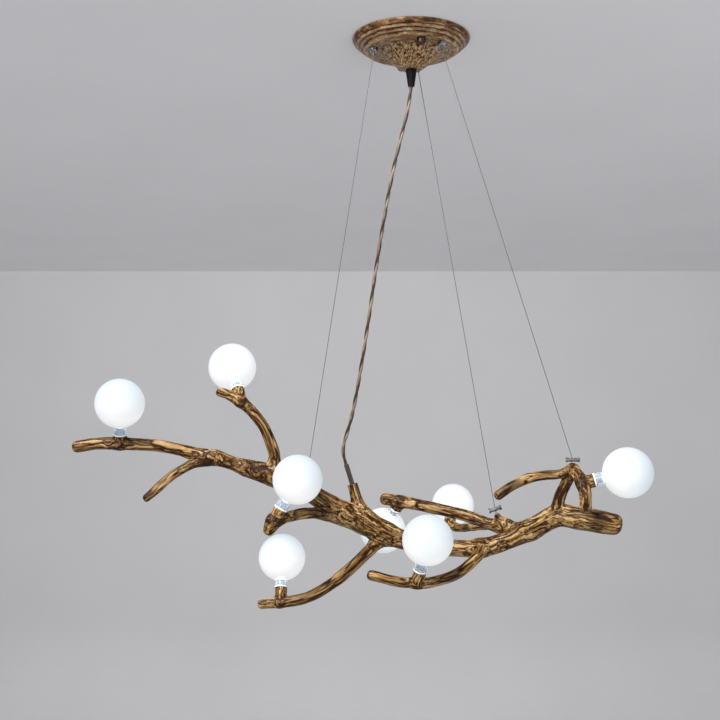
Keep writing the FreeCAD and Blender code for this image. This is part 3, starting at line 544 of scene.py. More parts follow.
trunk = Rod(TRUNK, blunt_start=2.6)
far_left = Rod(FAR_LEFT, blunt_end=2.4)
twig = Rod(LEFT_TWIG, blunt_end=2.4)
cut_twig = Rod(CUT_TWIG, blunt_end=3.0, reach=POST_BLEND)
fork = Rod(FORK_LIMB, blunt_end=2.4)
low_left = Rod(LOW_LEFT_LIMB, blunt_end=2.0)
low_left_knob = Rod(LOW_LEFT_KNOB, blunt_end=2.4)
hanging = Rod(HANGING_LIMB, blunt_end=2.6)
long_back = Rod(LONG_BACK_LIMB, blunt_end=2.2)
wire_stub = Rod(WIRE_STUB)
short_back = Rod(SHORT_BACK_LIMB, blunt_end=2.2)
front = Rod(FRONT_LIMB, blunt_end=2.4)
strut = Rod(STRUT_LIMB, blunt_end=2.2, reach=CROWN_BLEND)
arch = Rod(ARCH_LIMB, blunt_end=2.4, reach=CROWN_BLEND)
right = Rod(RIGHT_LIMB, blunt_end=2.4, reach=CROWN_BLEND)
cord_stub = Rod(CORD_STUB)
posts = [lamp_post(number) for number in range(8)]

# hollows left by broken twigs, sunk in and darkened with painted shade, and old scars: spots where
# the grain swirls
HOLLOW_RADIUS = 0.0058
HOLLOWS = [from_datum(spot) for spot in ((263, -119, 27), (71, 52, -2), (-317, -57, 93))]
SCARS = [from_datum(spot) for spot in (
    (-326, -38, 96), (-60, -14, -24), (233, -50, -4), (-20, 70, 36), (40, -6, -52),
    (-176, -22, 60), (160, 20, -14), (150, -14, -40), (-290, -38, 96),
)]

# each limb: the runs it is made of, and the runs of other limbs that it is blended into
LIMBS = [
    ("trunk_bark", "trunk", [trunk],
     [far_left, fork, low_left, hanging, long_back, front, strut, cord_stub]),
    ("far_left_bark", "far_left_limb", [far_left, cut_twig, posts[0]], [trunk, twig, fork]),
    ("left_twig_bark", "left_twig", [twig], [far_left]),
    ("fork_bark", "fork_limb", [fork, posts[1]], [trunk, far_left]),
    ("low_left_bark", "low_left_limb", [low_left, low_left_knob, posts[2]], [trunk]),
    ("hanging_bark", "hanging_limb", [hanging, posts[3]], [trunk]),
    ("long_back_bark", "long_back_limb", [long_back, wire_stub, posts[4]], [trunk, short_back]),
    ("short_back_bark", "short_back_limb", [short_back, posts[5]], [long_back]),
    ("front_bark", "front_limb", [front, posts[6]], [trunk]),
    ("strut_bark", "strut_limb", [strut], [trunk, arch, right]),
    ("arch_bark", "arch_limb", [arch], [strut, right]),
    ("right_bark", "right_limb", [right, posts[7]], [strut, arch]),
    ("cord_stub_bark", "cord_stub", [cord_stub], [trunk]),
]
for number, (name, limb, rods, met) in enumerate(LIMBS, 1):
    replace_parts(limb_piece(name, rods, met, float(number)), limb)

# -------------------- canopy and hub
# A spun steel dish in four steps with a cone in its middle, coated in the branch's resin:
# the steps are painted as rings, the cone is knobbly bark. Two cap nuts hold the dish up.
CANOPY_PROFILE = [
    (99.4, 0.0), (100.6, 0.0), (101.0, -0.5), (101.0, -2.2), (100.3, -3.6), (98.9, -5.6),
    (97.2, -6.9), (95.6, -7.6), (94.6, -8.6), (93.6, -10.6), (92.0, -11.8), (90.0, -12.3),
    (88.8, -13.2), (87.8, -15.0), (86.2, -16.5), (84.0, -17.1), (82.6, -18.1), (81.4, -19.9),
    (79.6, -21.2), (77.0, -21.9), (73.0, -21.6), (66.0, -21.2), (58.0, -21.5), (50.0, -22.0),
    (30.0, -22.0), (5.4, -22.0), (5.4, -20.4), (40.0, -20.4), (76.0, -20.3), (79.0, -19.4),
    (82.0, -15.8), (86.0, -14.9), (89.0, -11.0), (92.0, -10.2), (95.0, -6.0), (98.6, -4.4),
    (99.4, -2.6),
]
HUB_PROFILE = [
    (52.5, -21.4), (50.0, -24.6), (45.5, -30.0), (41.0, -34.2), (36.0, -39.2), (30.5, -44.2),
    (25.0, -49.0), (20.0, -52.0), (16.0, -53.8), (12.0, -54.0), (5.4, -54.0), (5.4, -52.0),
    (13.0, -51.4), (30.0, -38.0), (46.0, -24.0), (50.0, -21.4),
]


def filled(profile, step):
    """The profile with points no further apart than step, closed."""
    made = []
    for start, end in zip(profile, profile[1:] + profile[:1]):
        run = math.dist(start, end)
        count = max(1, round(run / step))
        for index in range(count):
            share = index / count
            made.append((start[0] + (end[0] - start[0]) * share,
                         start[1] + (end[1] - start[1]) * share))
    return made


def lathe(name, profile, count, shift):
    """A closed profile in millimetres turned about Z; shift moves each point as it likes."""
    verts, faces = [], []
    for index in range(count):
        turn = 2 * math.pi * index / count
        for radius, height in profile:
            radius, height = shift(radius, height, turn)
            verts.append((radius * math.cos(turn) / 1000, radius * math.sin(turn) / 1000,
                          height / 1000))
    size = len(profile)
    for index in range(count):
        ahead = (index + 1) % count
        for point in range(size):
            after = (point + 1) % size
            faces.append((index * size + point, index * size + after,
                          ahead * size + after, ahead * size + point))
    return put_in(name, smooth_mesh(name, verts, faces))


def hand_rings(radius, height, turn):
    """Ridges pulled by hand into the wet coat of the steps, under half a millimetre high."""
    if height > -1.0 or radius < 55:
        return radius, height
    place = Vector((math.cos(turn) * 1.7, math.sin(turn) * 1.7, radius * 0.55))
    lift = noise.noise(place) * 0.45 + noise.noise(place * 3.0) * 0.2
    return radius + lift * 0.3 - 0.3, height + lift * 0.8


def knobbly(radius, height, turn):
    """Bark on the cone's outside, as on the limbs' joints."""
    if radius < 15.0 or height > -22.5:
        return radius, height
    place = Vector((math.cos(turn) * radius, math.sin(turn) * radius, height))
    lump = noise.noise(place * 0.09)
    warped = place + noise.noise_vector(place * 0.06) * 7.0
    chip = 1.0 - 2.4 * abs(noise.noise(warped * 0.21))
    lift = 0.6 * lump + 0.45 * chip + 0.25 * noise.noise(warped * 0.5)
    return radius + lift * 0.6 - 0.4, height - lift * 0.5 + 0.3


# radii in millimetres: the corner over each step's riser and the step's edge; the ramp's end
RING_CORNERS = [(95.1, 92.4), (89.3, 86.4), (83.2, 79.8)]
RING_REACH = 103


def polar(node, place):
    """The distance from the middle axis, and the way out from it, of a coordinate."""
    flat = node("ShaderNodeVectorMath", {0: place, 1: (1.0, 1.0, 0.0)}, operation="MULTIPLY")
    reach = node("ShaderNodeVectorMath", {0: flat.outputs[0]}, operation="LENGTH")
    way = node("ShaderNodeVectorMath", {0: flat.outputs[0]}, operation="NORMALIZE")
    return reach.outputs["Value"], way.outputs[0]


def brushed_lines(node, reach, way, pitch):
    """A coordinate that goes round with the way out and climbs by pitch for a metre's reach."""
    climb = node("ShaderNodeCombineXYZ", {"Z": worked_out(node, "MULTIPLY", reach, pitch)})
    lines = node("ShaderNodeVectorMath", {0: way, 1: climb.outputs[0]}, operation="ADD")
    return lines.outputs[0]


def coat_finish(material, node, shader, depth, tones, gloss, coat, bump):
    """Paints a shader by depth, with a varnish over it; gloss is the source of its roughness."""
    fill(shader, {
        "Base Color": colour_steps(node, depth, tones), "Roughness": gloss,
        "Specular IOR Level": 0.15, "Coat Weight": coat[0], "Coat Roughness": coat[1],
    })
    bumped(node, shader, depth, *bump)
    return material


def ringed_finish():
    """The dish's coat: brushed in rings, tan on each step's edge as a painted highlight, dark in its
    corner and at the outer rim as painted shade.
    """
    material, node, place, shader = finish_of("ringed_coat")
    reach, way = polar(node, place)
    reach = mixed(node, grain_noise(node, place, 45.0, 3.0), 0.0035, reach)
    steps = [(0.50, (0.52,) * 3), (0.745, (0.55,) * 3)]
    # painted highlight: tan on each step's edge; painted shade: dark in the corner under each riser
    for corner, edge in reversed(RING_CORNERS):
        for radius, level in ((edge + 1.75, 0.72), (corner + 0.9, 0.45), (corner + 1.75, 0.12),
                              (corner + 2.6, 0.45)):
            steps.append((radius / RING_REACH, (level,) * 3))
    # painted shade: darker at the dish's outer rim
    steps += [(0.950, (0.56,) * 3), (0.985, (0.30,) * 3)]
    rings = colour_steps(node, worked_out(node, "DIVIDE", reach, RING_REACH / 1000), steps)
    strokes = grain_noise(node, brushed_lines(node, reach, way, 42.0), 5.0, 6.0)
    fleck = grain_noise(node, place, 330.0, 4.0)
    depth = mixed(node, rings, 0.75, -0.62)
    depth = mixed(node, strokes, 1.0, depth)
    depth = mixed(node, fleck, 0.5, depth)
    tones = [(0.24, UMBER), (0.36, DARK_BROWN), (0.49, (0.185, 0.095, 0.036)),
             (0.63, (0.315, 0.190, 0.092)), (0.86, (0.620, 0.450, 0.290))]
    gloss = spread(node, strokes, 0.30, 0.50)
    return coat_finish(material, node, shader, depth, tones, gloss, (0.22, 0.12), (0.5, 0.0007))


def chipped_finish():
    """The cone's coat: short crossing strokes, like chipped bark, dark between them."""
    material, node, place, shader = finish_of("chipped_coat")
    reach, way = polar(node, place)
    chips = grain_noise(node, brushed_lines(node, reach, way, 26.0), 10.0, 6.0, swirl=0.35)
    fleck = grain_noise(node, place, 300.0, 4.0, swirl=1.0)
    patch = grain_noise(node, place, 60.0, 3.0)
    depth = mixed(node, chips, 1.9, -0.90)
    depth = mixed(node, fleck, 0.75, depth)
    depth = mixed(node, patch, 0.25, depth)
    tones = [(0.24, UMBER), (0.36, DARK_BROWN), (0.47, (0.185, 0.092, 0.033)),
             (0.60, (0.300, 0.180, 0.082)), (0.82, (0.560, 0.400, 0.235))]
    gloss = spread(node, fleck, 0.3, 0.5)
    return coat_finish(material, node, shader, depth, tones, gloss, (0.14, 0.15), (0.6, 0.0010))


shell = lathe("canopy_dish", filled(CANOPY_PROFILE, 1.3), 240, hand_rings)
shell.data.materials.append(ringed_finish())
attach(shell, "canopy")
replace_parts(shell, "canopy_shell")
hub = lathe("hub_bark", filled(HUB_PROFILE, 1.3), 200, knobbly)
hub.data.materials.append(chipped_finish())
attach(hub, "canopy")
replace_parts(hub, "canopy_hub")

# domed cap nuts, lacquered dark red-brown, and the black rubber strain relief of the cord
nut_lacquer = plain_finish(
    "nut_lacquer", (0.060, 0.014, 0.009), (0.022, 0.007, 0.006), 0.2, 0.2, 420.0)
black_rubber = plain_finish(
    "black_rubber", (0.006, 0.006, 0.007), (0.003, 0.003, 0.004), 0.0, 0.5, 800.0)
fill(black_rubber.node_tree.nodes["Principled BSDF"], {"Specular IOR Level": 0.1})
dress(nut_lacquer, "cap_nuts")
dress(black_rubber, "strain_relief")

# -------------------- wire grips and wires
# Chrome grips with a spring-loaded nozzle under the canopy let each wire be set to length.
# The wires are six steel strands laid round each other, hooked into barrels on the branch.
# painted reflection: bright and near-black patches in the chrome's colour stand in for glints and
# dark reflections
chrome = plain_finish(
    "grip_chrome", (0.50, 0.50, 0.53), (0.09, 0.09, 0.10), 1.0, 0.12, 260.0, bump=0.00005)
dress(chrome, "wire_grips", "grip_plunger_1", "grip_plunger_2", "grip_plunger_3")
strand_steel = plain_finish(
    "strand_steel", (0.120, 0.124, 0.132), (0.070, 0.073, 0.080), 0.3, 0.4, 900.0)

WIRE_RADIUS = 0.0006
WIRE_LAY = 0.012
WIRE_STRANDS = 6
WIRE_VALLEY = 0.74
WIRE_RING_STEP = 0.0016
WIRES = [
    ((-65.20, -19.31, -33.5), (-176.0, -9.26, -746.85)),
    ((15.87, 66.12, -33.5), (140.29, 22.0, -805.42)),
    ((49.33, -46.81, -33.5), (255.0, -67.0, -720.0)),
]


def node_tree(name, sockets):
    """A Geometry Nodes tree: itself, its inputs' names, node maker, given inputs and way out."""
    tree = bpy.data.node_groups.new(name, "GeometryNodeTree")
    tree.interface.new_socket("Geometry", in_out="OUTPUT", socket_type="NodeSocketGeometry")
    names = {}
    for label, kind, value in sockets:
        socket = tree.interface.new_socket(label, in_out="INPUT", socket_type=kind)
        socket.default_value = value
        names[label] = socket.identifier
    node = node_maker(tree)
    return tree, names, node, node("NodeGroupInput").outputs, node("NodeGroupOutput")


def closed_tree(node, shape, finish, out):
    """Ends a tree: real geometry with its finish."""
    whole = node("GeometryNodeRealizeInstances", {0: shape})
    painted = node("GeometryNodeSetMaterial", {"Geometry": whole.outputs[0], "Material": finish})
    fill(out, {0: painted.outputs[0]})


def grown(name, tree, names, values, finish):
    """The plain mesh that a tree makes with these values."""
    holder = put_in(name + "_maker", bpy.data.meshes.new(name + "_maker"))
    grower = holder.modifiers.new("grow", "NODES")
    grower.node_group = tree
    for label, value in values.items():
        grower[names[label]] = value
    seen = holder.evaluated_get(bpy.context.evaluated_depsgraph_get())
    mesh = bpy.data.meshes.new_from_object(seen)
    bpy.data.objects.remove(holder)
    mesh.name = name
    mesh.materials.clear()
    mesh.materials.append(finish)
    return mesh


def strand_tree():
    """A wire between two points: a star of strands turned along a straight line."""
    tree, names, node, given, out = node_tree("laid_wire", [
        ("Top", "NodeSocketVector", (0, 0, 0)), ("Foot", "NodeSocketVector", (0, 0, -0.7)),
        ("Radius", "NodeSocketFloat", WIRE_RADIUS), ("Lay", "NodeSocketFloat", WIRE_LAY),
        ("Strands", "NodeSocketInt", WIRE_STRANDS),
    ])
    line = node("GeometryNodeCurvePrimitiveLine", {"Start": given["Top"], "End": given["Foot"]})
    rings = node("GeometryNodeResampleCurve", {
        "Curve": line.outputs[0], "Length": WIRE_RING_STEP}, mode="LENGTH")
    along = node("GeometryNodeSplineParameter").outputs["Length"]
    turns = worked_out(node, "DIVIDE", along, given["Lay"])
    tilt = node("GeometryNodeSetCurveTilt", {
        "Curve": rings.outputs[0], "Tilt": worked_out(node, "MULTIPLY", turns, 2 * math.pi)})
    section = node("GeometryNodeCurveStar", {
        "Points": given["Strands"], "Outer Radius": given["Radius"],
        "Inner Radius": worked_out(node, "MULTIPLY", given["Radius"], WIRE_VALLEY)})
    rope = node("GeometryNodeCurveToMesh", {
        "Fill Caps": True, "Curve": tilt.outputs[0], "Profile Curve": section.outputs["Curve"]})
    closed_tree(node, rope.outputs[0], strand_steel, out)
    return tree, names


laid_wire, wire_names = strand_tree()
for number, (top, foot) in enumerate(WIRES, 1):
    top, foot = Vector(top) / 1000, Vector(foot) / 1000
    mesh = grown("laid_wire_%d" % number, laid_wire, wire_names,
                 {"Top": list(top), "Foot": list(foot), "Radius": WIRE_RADIUS, "Lay": WIRE_LAY,
                  "Strands": WIRE_STRANDS}, strand_steel)
    wire = put_in("laid_wire_%d" % number, mesh)
    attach(wire, "wire_%d" % number)
    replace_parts(wire, "suspension_wire_%d" % number)

# -------------------- wire anchors
# Each wire ends in a small turned cross barrel on a threaded stud in the limb. The barrel is
# chrome with painted glints and dark painted reflections, closed by two flanged caps
# with knurled rims, pressed on.
# painted reflection: bright and near-black patches in the chrome's colour stand in for glints and
# dark reflections
chrome_painted_glints = plain_finish(
    "chrome_painted_glints", (0.85, 0.86, 0.88), (0.06, 0.065, 0.08), 1.0, 0.12, 300.0, bump=0.00008)
dress(chrome_painted_glints, "cross_barrels", "anchor_studs")

CAP_RADIUS = 0.0042
CAP_LENGTH = 0.0032
CAP_RIBS = 22
RIB_WIDTH = 0.00055
BARREL_HALF = 0.008
ANCHORS = [
    ((-176, -16, 47), (0.0, 0.25, 0.97), 27.0),
    ((143, 22, 6), (-0.30, 0.0, 0.95), 9.0),
    ((255, -67, 84), (0.0, 0.0, 1.0), 16.0),
]


def cap_tree():
    """A disc with ribs round its rim: one small bar repeated on a circle."""
    tree, names, node, given, out = node_tree("knurled_cap", [
        ("Radius", "NodeSocketFloat", CAP_RADIUS), ("Length", "NodeSocketFloat", CAP_LENGTH),
        ("Ribs", "NodeSocketInt", CAP_RIBS),
    ])
    core = worked_out(node, "MULTIPLY", given["Radius"], 0.93)
    disc = node("GeometryNodeMeshCylinder", {
        "Vertices": 32, "Radius": core, "Depth": given["Length"]})
    rim = node("GeometryNodeCurvePrimitiveCircle", {"Resolution": given["Ribs"], "Radius": core})
    seats = node("GeometryNodeCurveToPoints", {"Curve": rim.outputs["Curve"]}, mode="EVALUATED")
    size = node("ShaderNodeCombineXYZ", {
        "X": RIB_WIDTH, "Y": RIB_WIDTH, "Z": worked_out(node, "MULTIPLY", given["Length"], 0.86)})
    rib = node("GeometryNodeMeshCube", {"Size": size.outputs[0]})
    where = node("GeometryNodeInputPosition")
    spin = node("FunctionNodeAlignRotationToVector", {"Vector": where.outputs[0]}, axis="X")
    ribs = node("GeometryNodeInstanceOnPoints", {
        "Points": seats.outputs["Points"], "Instance": rib.outputs["Mesh"],
        "Rotation": spin.outputs[0]})
    both = node("GeometryNodeJoinGeometry", {0: disc.outputs["Mesh"]})
    fill(both, {0: ribs.outputs[0]})
    closed_tree(node, both.outputs[0], chrome_painted_glints, out)
    return tree, names


def joined(name, meshes_and_places):
    """Copies of meshes set in place and joined as one plain mesh."""
    verts, faces, smooth = [], [], []
    for mesh, place in meshes_and_places:
        start = len(verts)
        verts.extend(tuple(place @ vertex.co) for vertex in mesh.vertices)
        faces.extend(tuple(start + index for index in face.vertices) for face in mesh.polygons)
        smooth.extend(face.use_smooth for face in mesh.polygons)
    made = bpy.data.meshes.new(name)
    made.from_pydata(verts, [], faces)
    made.polygons.foreach_set("use_smooth", smooth)
    made.update()
    return put_in(name, made)


knurled, cap_names = cap_tree()
cap = grown("knurled_cap", knurled, cap_names,
            {"Radius": CAP_RADIUS, "Length": CAP_LENGTH, "Ribs": CAP_RIBS}, chrome_painted_glints)
cap_places = []
for spot, up, height in ANCHORS:
    axis = Vector(up).normalized()
    middle = Vector(from_datum(spot)) + axis * height / 1000
    across = (Vector((1, 0, 0)) - axis * axis.x).normalized()
    for side in (-1, 1):
        turn = across.to_track_quat("Z", "Y").to_matrix().to_4x4()
        turn.translation = middle + across * side * (BARREL_HALF + CAP_LENGTH / 2)
        cap_places.append((cap, turn))
caps = joined("knurled_caps", cap_places)
caps.data.materials.append(chrome_painted_glints)
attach(caps, "branch_frame")
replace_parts(caps, "barrel_caps")

# -------------------- power cord
# Two insulated leads laid round each other, one dark brown and one tan, coming out of the
# strain relief and going down in a long loose bow to a clear sleeve on the branch.
CORD_LAY = 0.058
CORD_ROUTE = [
    (0, 0, -81), (-3, 0, -110), (-12, 0, -150), (-31, 0, -225), (-47, -1, -312),
    (-61, -2, -398), (-73, -3, -484), (-86, -4, -566), (-98.6, -4, -638),
    (-109.3, -3, -676), (-115.9, -2.5, -696.5), (-116.4, -2, -712.3), (-112.3, -2, -725.7),
    (-109.6, -2, -734.3),
]
STRAND_RADIUS = 0.00235
STRAND_OFFSET = 0.00088
STRAND_SIDES = 12
STRAND_RING_STEP = 0.0016
route = bpy.data.curves.new("cord_route", "CURVE")
route.dimensions = "3D"
spline = route.splines.new("NURBS")
spline.points.add(len(CORD_ROUTE) - 1)
for point, place in zip(spline.points, CORD_ROUTE):
    point.co = (*(value / 1000 for value in place), 1)
spline.order_u = 3
spline.use_endpoint_u = True
route.resolution_u = 20
route_holder = put_in("cord_route", route)
route_mesh = bpy.data.meshes.new_from_object(route_holder)
cord_line = np.array([vertex.co for vertex in route_mesh.vertices])
bpy.data.objects.remove(route_holder)


def evenly(line, step):
    """Points about every step along a line, and how far along it each is."""
    runs = np.concatenate([[0], np.cumsum(np.linalg.norm(np.diff(line, axis=0), axis=1))])
    places = np.linspace(0, runs[-1], max(2, int(runs[-1] / step)))
    return np.stack([np.interp(places, runs, line[:, axis]) for axis in range(3)], axis=1), places


def strand(line, runs, start_turn):
    """The rings of points of a round lead wound about the cord's line."""
    sides, ups = carried_frames(line)
    turn = start_turn + 2 * math.pi * runs / CORD_LAY
    middle = line + STRAND_OFFSET * (np.cos(turn)[:, None] * sides + np.sin(turn)[:, None] * ups)
    out = rings_round(sides, ups, STRAND_SIDES)[1]
    return (middle[:, None, :] + STRAND_RADIUS * out).reshape(-1, 3)


def jacket_finish(name, light, dark):
    """Smooth insulation in two near tones, a little glossy."""
    material, node, place, shader, _ = two_tone(
        name, 90.0, 3.0, dark, light, (0.25, 0.4), {"Specular IOR Level": 0.25})
    bumped(node, shader, grain_noise(node, place, 1200.0, 2.0), 0.15, 0.0001)
    return material


even_line, even_runs = evenly(cord_line, STRAND_RING_STEP)
verts, faces, kinds = [], [], []
for kind, begin in ((0, 0.0), (1, math.pi)):
    start = len(verts)
    verts.extend(strand(even_line, even_runs, begin))
    faces.extend(shell_faces(len(even_line), STRAND_SIDES, start))
    for ring, order in ((0, -1), (len(even_line) - 1, 1)):
        base = start + ring * STRAND_SIDES
        faces.append(tuple(range(base, base + STRAND_SIDES))[::order])
    kinds.extend([kind] * (len(faces) - len(kinds)))
cord_mesh = smooth_mesh("twisted_cord", verts, faces)
for name, light, dark in (("dark_jacket", (0.050, 0.027, 0.014), (0.022, 0.011, 0.006)),
                          ("tan_jacket", (0.210, 0.160, 0.110), (0.090, 0.060, 0.036))):
    cord_mesh.materials.append(jacket_finish(name, light, dark))
cord_mesh.polygons.foreach_set("material_index", kinds)
cord_mesh.update()
cord = put_in("twisted_cord", cord_mesh)
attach(cord, "cord")
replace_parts(cord, "power_cord")

# clear sleeve over the cord's lower end: dark film that lets the leads inside show through
sleeve_film = two_tone(
    "clear_sleeve_film", 150.0, 3.0, (0.02, 0.018, 0.016), (0.06, 0.056, 0.052), (0.08, 0.22),
    {"Specular IOR Level": 0.25, "Alpha": 0.35})[0]
dress(sleeve_film, "cord_sleeve")
dress(jacket_finish("tail_jacket", (0.16, 0.12, 0.085), (0.05, 0.028, 0.018)), "branch_leads")

# -------------------- lamps
# Each lamp is a white plastic seat ring, a two-pin holder, a capsule bulb and a blown globe.
# The globe is frosted all over but for its clear neck, which grips the holder's foot.
GLOBE_RADIUS = 40.0
GLOBE_WALL = 1.6
GLOBE_CENTRE = 54.0
NECK_RADIUS = 10.5
NECK_FOOT = 2.0
NECK_FILLET = 1.6
GLOBE_TURNS = 96
GLOBE_ROWS = 56
NECK_ROWS = 10
FILLET_ROWS = 5
GLOW_HEIGHT = 30.0
GLOW_FALL = 66.0

seat_white = plain_finish(
    "seat_white", (0.86, 0.88, 0.90), (0.78, 0.80, 0.83), 0.0, 0.4, 700.0)
holder_grey = plain_finish(
    "holder_grey", (0.30, 0.37, 0.44), (0.20, 0.26, 0.33), 0.0, 0.35, 600.0)
dress(seat_white, "seat_rings")
dress(holder_grey, "lamp_holders")


def globe_finish():
    """Frosted glass lit from inside: whitest round the bulb, bluer towards the far side, with
    painted shade dimming it towards the outline.
    """
    material, node, place, shader = finish_of("frosted_glass")
    near = node("ShaderNodeAttribute", attribute_name="nearness").outputs["Fac"]
    glow = mixed(node, grain_noise(node, place, 28.0, 2.0), 0.22, near)
    tone = colour_steps(node, glow, [
        (0.10, (0.62, 0.72, 0.80)), (0.45, (0.72, 0.80, 0.86)), (0.75, (0.87, 0.91, 0.94)),
        (1.0, (1.0, 1.0, 1.0))])
    # painted shade: the glow's colour is dimmed towards the globe's outline
    edge = node("ShaderNodeLayerWeight", {"Blend": 0.14})
    wall = node("ShaderNodeMix", {
        "Factor": edge.outputs["Facing"], "A": tone, "B": (0.46, 0.54, 0.60, 1),
    }, data_type="RGBA", blend_type="MULTIPLY")
    frost = grain_noise(node, place, 1500.0, 3.0)
    fill(shader, {
        "Emission Color": wall.outputs["Result"], "Emission Strength": 0.80,
        "Base Color": (0.16, 0.165, 0.17, 1), "Roughness": spread(node, frost, 0.42, 0.6),
        "Coat Weight": 0.25, "Coat Roughness": 0.3,
    })
    bumped(node, shader, frost, 0.12, 0.0001)
    return material


def half_outline(radius, neck):
    """A wall's outline from the neck's foot to the pole, with a small curve at the shoulder."""
    low = math.asin((neck + NECK_FILLET) / radius)
    shoulder = GLOBE_CENTRE - radius * math.cos(low)
    corner = GLOBE_CENTRE - math.sqrt(radius ** 2 - neck ** 2)
    made = [(neck, NECK_FOOT + (corner - 1.8 - NECK_FOOT) * share)
            for share in np.linspace(0, 1, NECK_ROWS)]
    start, middle, end = made[-1], (neck, corner + 0.1), (neck + NECK_FILLET, shoulder)
    for step in np.linspace(0, 1, FILLET_ROWS + 1)[1:]:
        made.append(tuple(start[i] * (1 - step) ** 2 + 2 * middle[i] * step * (1 - step)
                          + end[i] * step ** 2 for i in (0, 1)))
    for turn in np.linspace(low, math.pi, GLOBE_ROWS)[1:]:
        made.append((radius * math.sin(turn), GLOBE_CENTRE - radius * math.cos(turn)))
    made[-1] = (0.0, GLOBE_CENTRE + radius)
    return made


frosted = globe_finish()
# the clear neck: bluish glass with a little light in it
clear_neck = two_tone(
    "clear_neck", 260.0, 3.0, (0.86, 0.92, 0.96), (0.94, 0.98, 1.0), (0.05, 0.14), {
        "Transmission Weight": 0.9, "IOR": 1.3, "Emission Color": (0.75, 0.85, 0.95, 1),
        "Emission Strength": 0.06})[0]
outside = half_outline(GLOBE_RADIUS, NECK_RADIUS)
inside = half_outline(GLOBE_RADIUS - GLOBE_WALL, NECK_RADIUS - GLOBE_WALL)
verts, faces, neck_faces = [], [], []
rows = len(outside) - 1
for outline in (outside, inside):
    for index in range(GLOBE_TURNS):
        turn = 2 * math.pi * index / GLOBE_TURNS
        for radius, height in outline[:-1]:
            verts.append((radius * math.cos(turn), radius * math.sin(turn), height))
    verts.append((0, 0, outline[-1][1]))
size = rows * GLOBE_TURNS + 1
for wall in (0, 1):
    base = wall * size
    for index in range(GLOBE_TURNS):
        ahead = (index + 1) % GLOBE_TURNS
        for row in range(rows - 1):
            quad = (base + index * rows + row, base + ahead * rows + row,
                    base + ahead * rows + row + 1, base + index * rows + row + 1)
            faces.append(quad if wall == 0 else quad[::-1])
            neck_faces.append(row < NECK_ROWS + FILLET_ROWS - 1)
        tip = (base + index * rows + rows - 1, base + ahead * rows + rows - 1, base + size - 1)
        faces.append(tip if wall == 0 else tip[::-1])
        neck_faces.append(False)
for index in range(GLOBE_TURNS):
    ahead = (index + 1) % GLOBE_TURNS
    faces.append((index * rows, size + index * rows, size + ahead * rows, ahead * rows))
    neck_faces.append(True)

for number in range(8):
    seat, axis = lamp_seat(number), Vector(lamp_axis(number))
    turn = Vector((0, 0, 1)).rotation_difference(axis).to_matrix()
    placed = [turn @ Vector(vert) / 1000 + Vector(seat) for vert in verts]
    mesh = smooth_mesh("blown_globe_%d" % (number + 1), placed, faces)
    mesh.materials.append(frosted)
    mesh.materials.append(clear_neck)
    mesh.polygons.foreach_set("material_index", [int(neck) for neck in neck_faces])
    layer = mesh.attributes.new("nearness", "FLOAT", "POINT")
    layer.data.foreach_set("value", [
        max(0.0, min(1.0, 1.05 - max(0.0, vert[2] - GLOW_HEIGHT) / GLOW_FALL)) for vert in verts])
    mesh.update()
    globe = put_in("blown_globe_%d" % (number + 1), mesh)
    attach(globe, "globe_%d" % (number + 1))
    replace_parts(globe, "globe_%d" % (number + 1))

# capsule bulbs: smooth and glowing white all over, seen only when a globe is off
bulb_glow = two_tone(
    "bulb_glow", 180.0, 2.0, (0.80, 0.84, 0.90), (0.96, 0.97, 0.98), (0.08, 0.2),
    {"Emission Color": (0.95, 0.98, 1.0, 1), "Emission Strength": 1.0})[0]
dress(bulb_glow, *["bulb_%d" % number for number in range(1, 9)])

# -------------------- room, light and camera
# A plain pale studio: floor, back wall and ceiling of one sheet, painted in two tones. From
# outside, the sheet lets light and view through.
ROOM_HALF = 4.5
ROOM_FRONT = -5.0
ROOM_BACK = 2.62
FLOOR_HEIGHT = -1.95
CEILING_HEIGHT = 0.0008
COVE_RADIUS = 0.5
WALL_COLOUR = (0.456, 0.453, 0.458)
CEILING_COLOUR = (0.815, 0.817, 0.832)

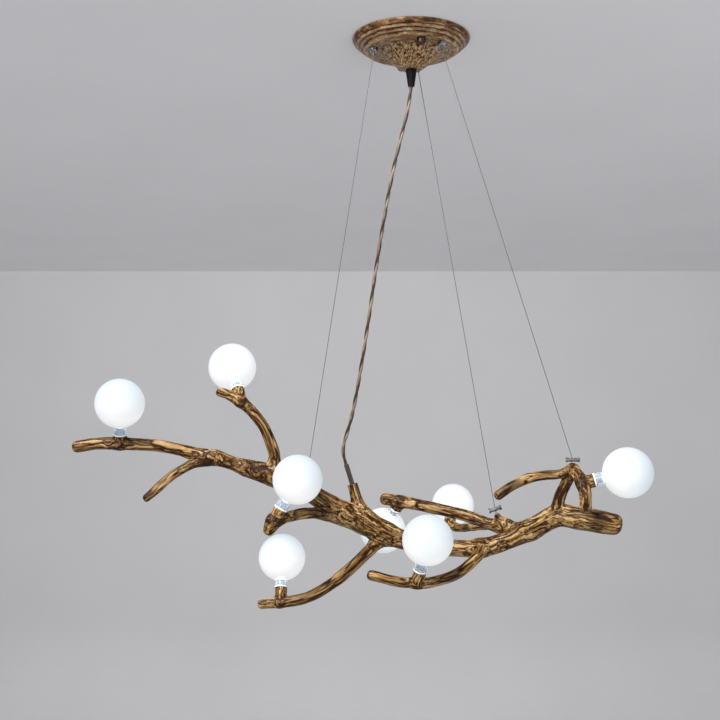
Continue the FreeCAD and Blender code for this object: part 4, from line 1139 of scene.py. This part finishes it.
section = [(ROOM_FRONT, FLOOR_HEIGHT)]
for turn in np.linspace(0, math.pi / 2, 24):
    section.append((ROOM_BACK - COVE_RADIUS + COVE_RADIUS * math.sin(turn),
                    FLOOR_HEIGHT + COVE_RADIUS - COVE_RADIUS * math.cos(turn)))
section += [(ROOM_BACK, CEILING_HEIGHT), (ROOM_FRONT, CEILING_HEIGHT)]
verts = [(side * ROOM_HALF, y, z) for y, z in section for side in (-1, 1)]
faces = [(2 * i, 2 * i + 1, 2 * i + 3, 2 * i + 2) for i in range(len(section) - 1)]
mesh = bpy.data.meshes.new("pale_room")
mesh.from_pydata(verts, [], faces)
for name, colour in (("wall_paint", WALL_COLOUR), ("ceiling_paint", CEILING_COLOUR)):
    material, node, place, shader = finish_of(name)
    cloud = grain_noise(node, place, 3.0, 2.0)
    low, high = [tuple(part * share for part in colour) for share in (0.985, 1.015)]
    fill(shader, {
        "Base Color": colour_steps(node, cloud, [(0.3, low), (0.7, high)]), "Roughness": 0.9})
    back = node("ShaderNodeNewGeometry").outputs["Backfacing"]
    clear = node("ShaderNodeBsdfTransparent")
    choose = node("ShaderNodeMixShader", {0: back, 1: shader.outputs[0], 2: clear.outputs[0]})
    fill(material.node_tree.nodes["Material Output"], {"Surface": choose.outputs[0]})
    mesh.materials.append(material)
mesh.polygons[len(faces) - 1].material_index = 1
room = put_in("pale_room", mesh)
room.visible_shadow = False

world = bpy.data.worlds.new("studio")
world.use_nodes = True
bpy.context.scene.world = world
node = node_maker(world.node_tree)
light = world.node_tree.nodes["Background"]
fill(light, {"Color": (0.95, 0.97, 1.0, 1), "Strength": 0.8})
shown = node("ShaderNodeBackground", {"Color": (0.60, 0.60, 0.615, 1)})
path = node("ShaderNodeLightPath").outputs
seen = path["Is Camera Ray"]
for ray in ("Is Glossy Ray", "Is Transmission Ray"):
    seen = worked_out(node, "MAXIMUM", seen, path[ray])
blend = node("ShaderNodeMixShader", {0: seen, 1: light.outputs[0], 2: shown.outputs[0]})
fill(world.node_tree.nodes["World Output"], {"Surface": blend.outputs[0]})

LIGHT_SPREAD = 135.0
LIGHTS = [
    ("key_light", (-1.1, -1.9, 1.3), (0.0, 0.0, -0.6), 1.3, 106),
    ("fill_light", (1.9, -2.0, -1.2), (0.0, 0.0, -0.5), 1.6, 9),
    ("back_light", (0.6, 2.1, 0.6), (0.0, 0.0, -0.7), 1.2, 6),
]
for name, place, aim, size, power in LIGHTS:
    lamp = bpy.data.lights.new(name, "AREA")
    lamp.size = size
    lamp.energy = power
    lamp.spread = math.radians(LIGHT_SPREAD)
    holder = put_in(name, lamp)
    holder.location = place
    holder.rotation_euler = (Vector(aim) - Vector(place)).to_track_quat("-Z", "Y").to_euler()

CAMERA_PLACE = (-0.088, -1.787, -0.679)
CAMERA_PITCH = 4.0
view = bpy.data.cameras.new("photo_camera")
view.lens = 53.1
view.sensor_width = 36.0
camera = put_in("photo_camera", view)
camera.location = CAMERA_PLACE
camera.rotation_euler = (math.radians(90 + CAMERA_PITCH), 0, 0)
bpy.context.scene.camera = camera
bpy.context.scene.view_settings.view_transform = "Standard"
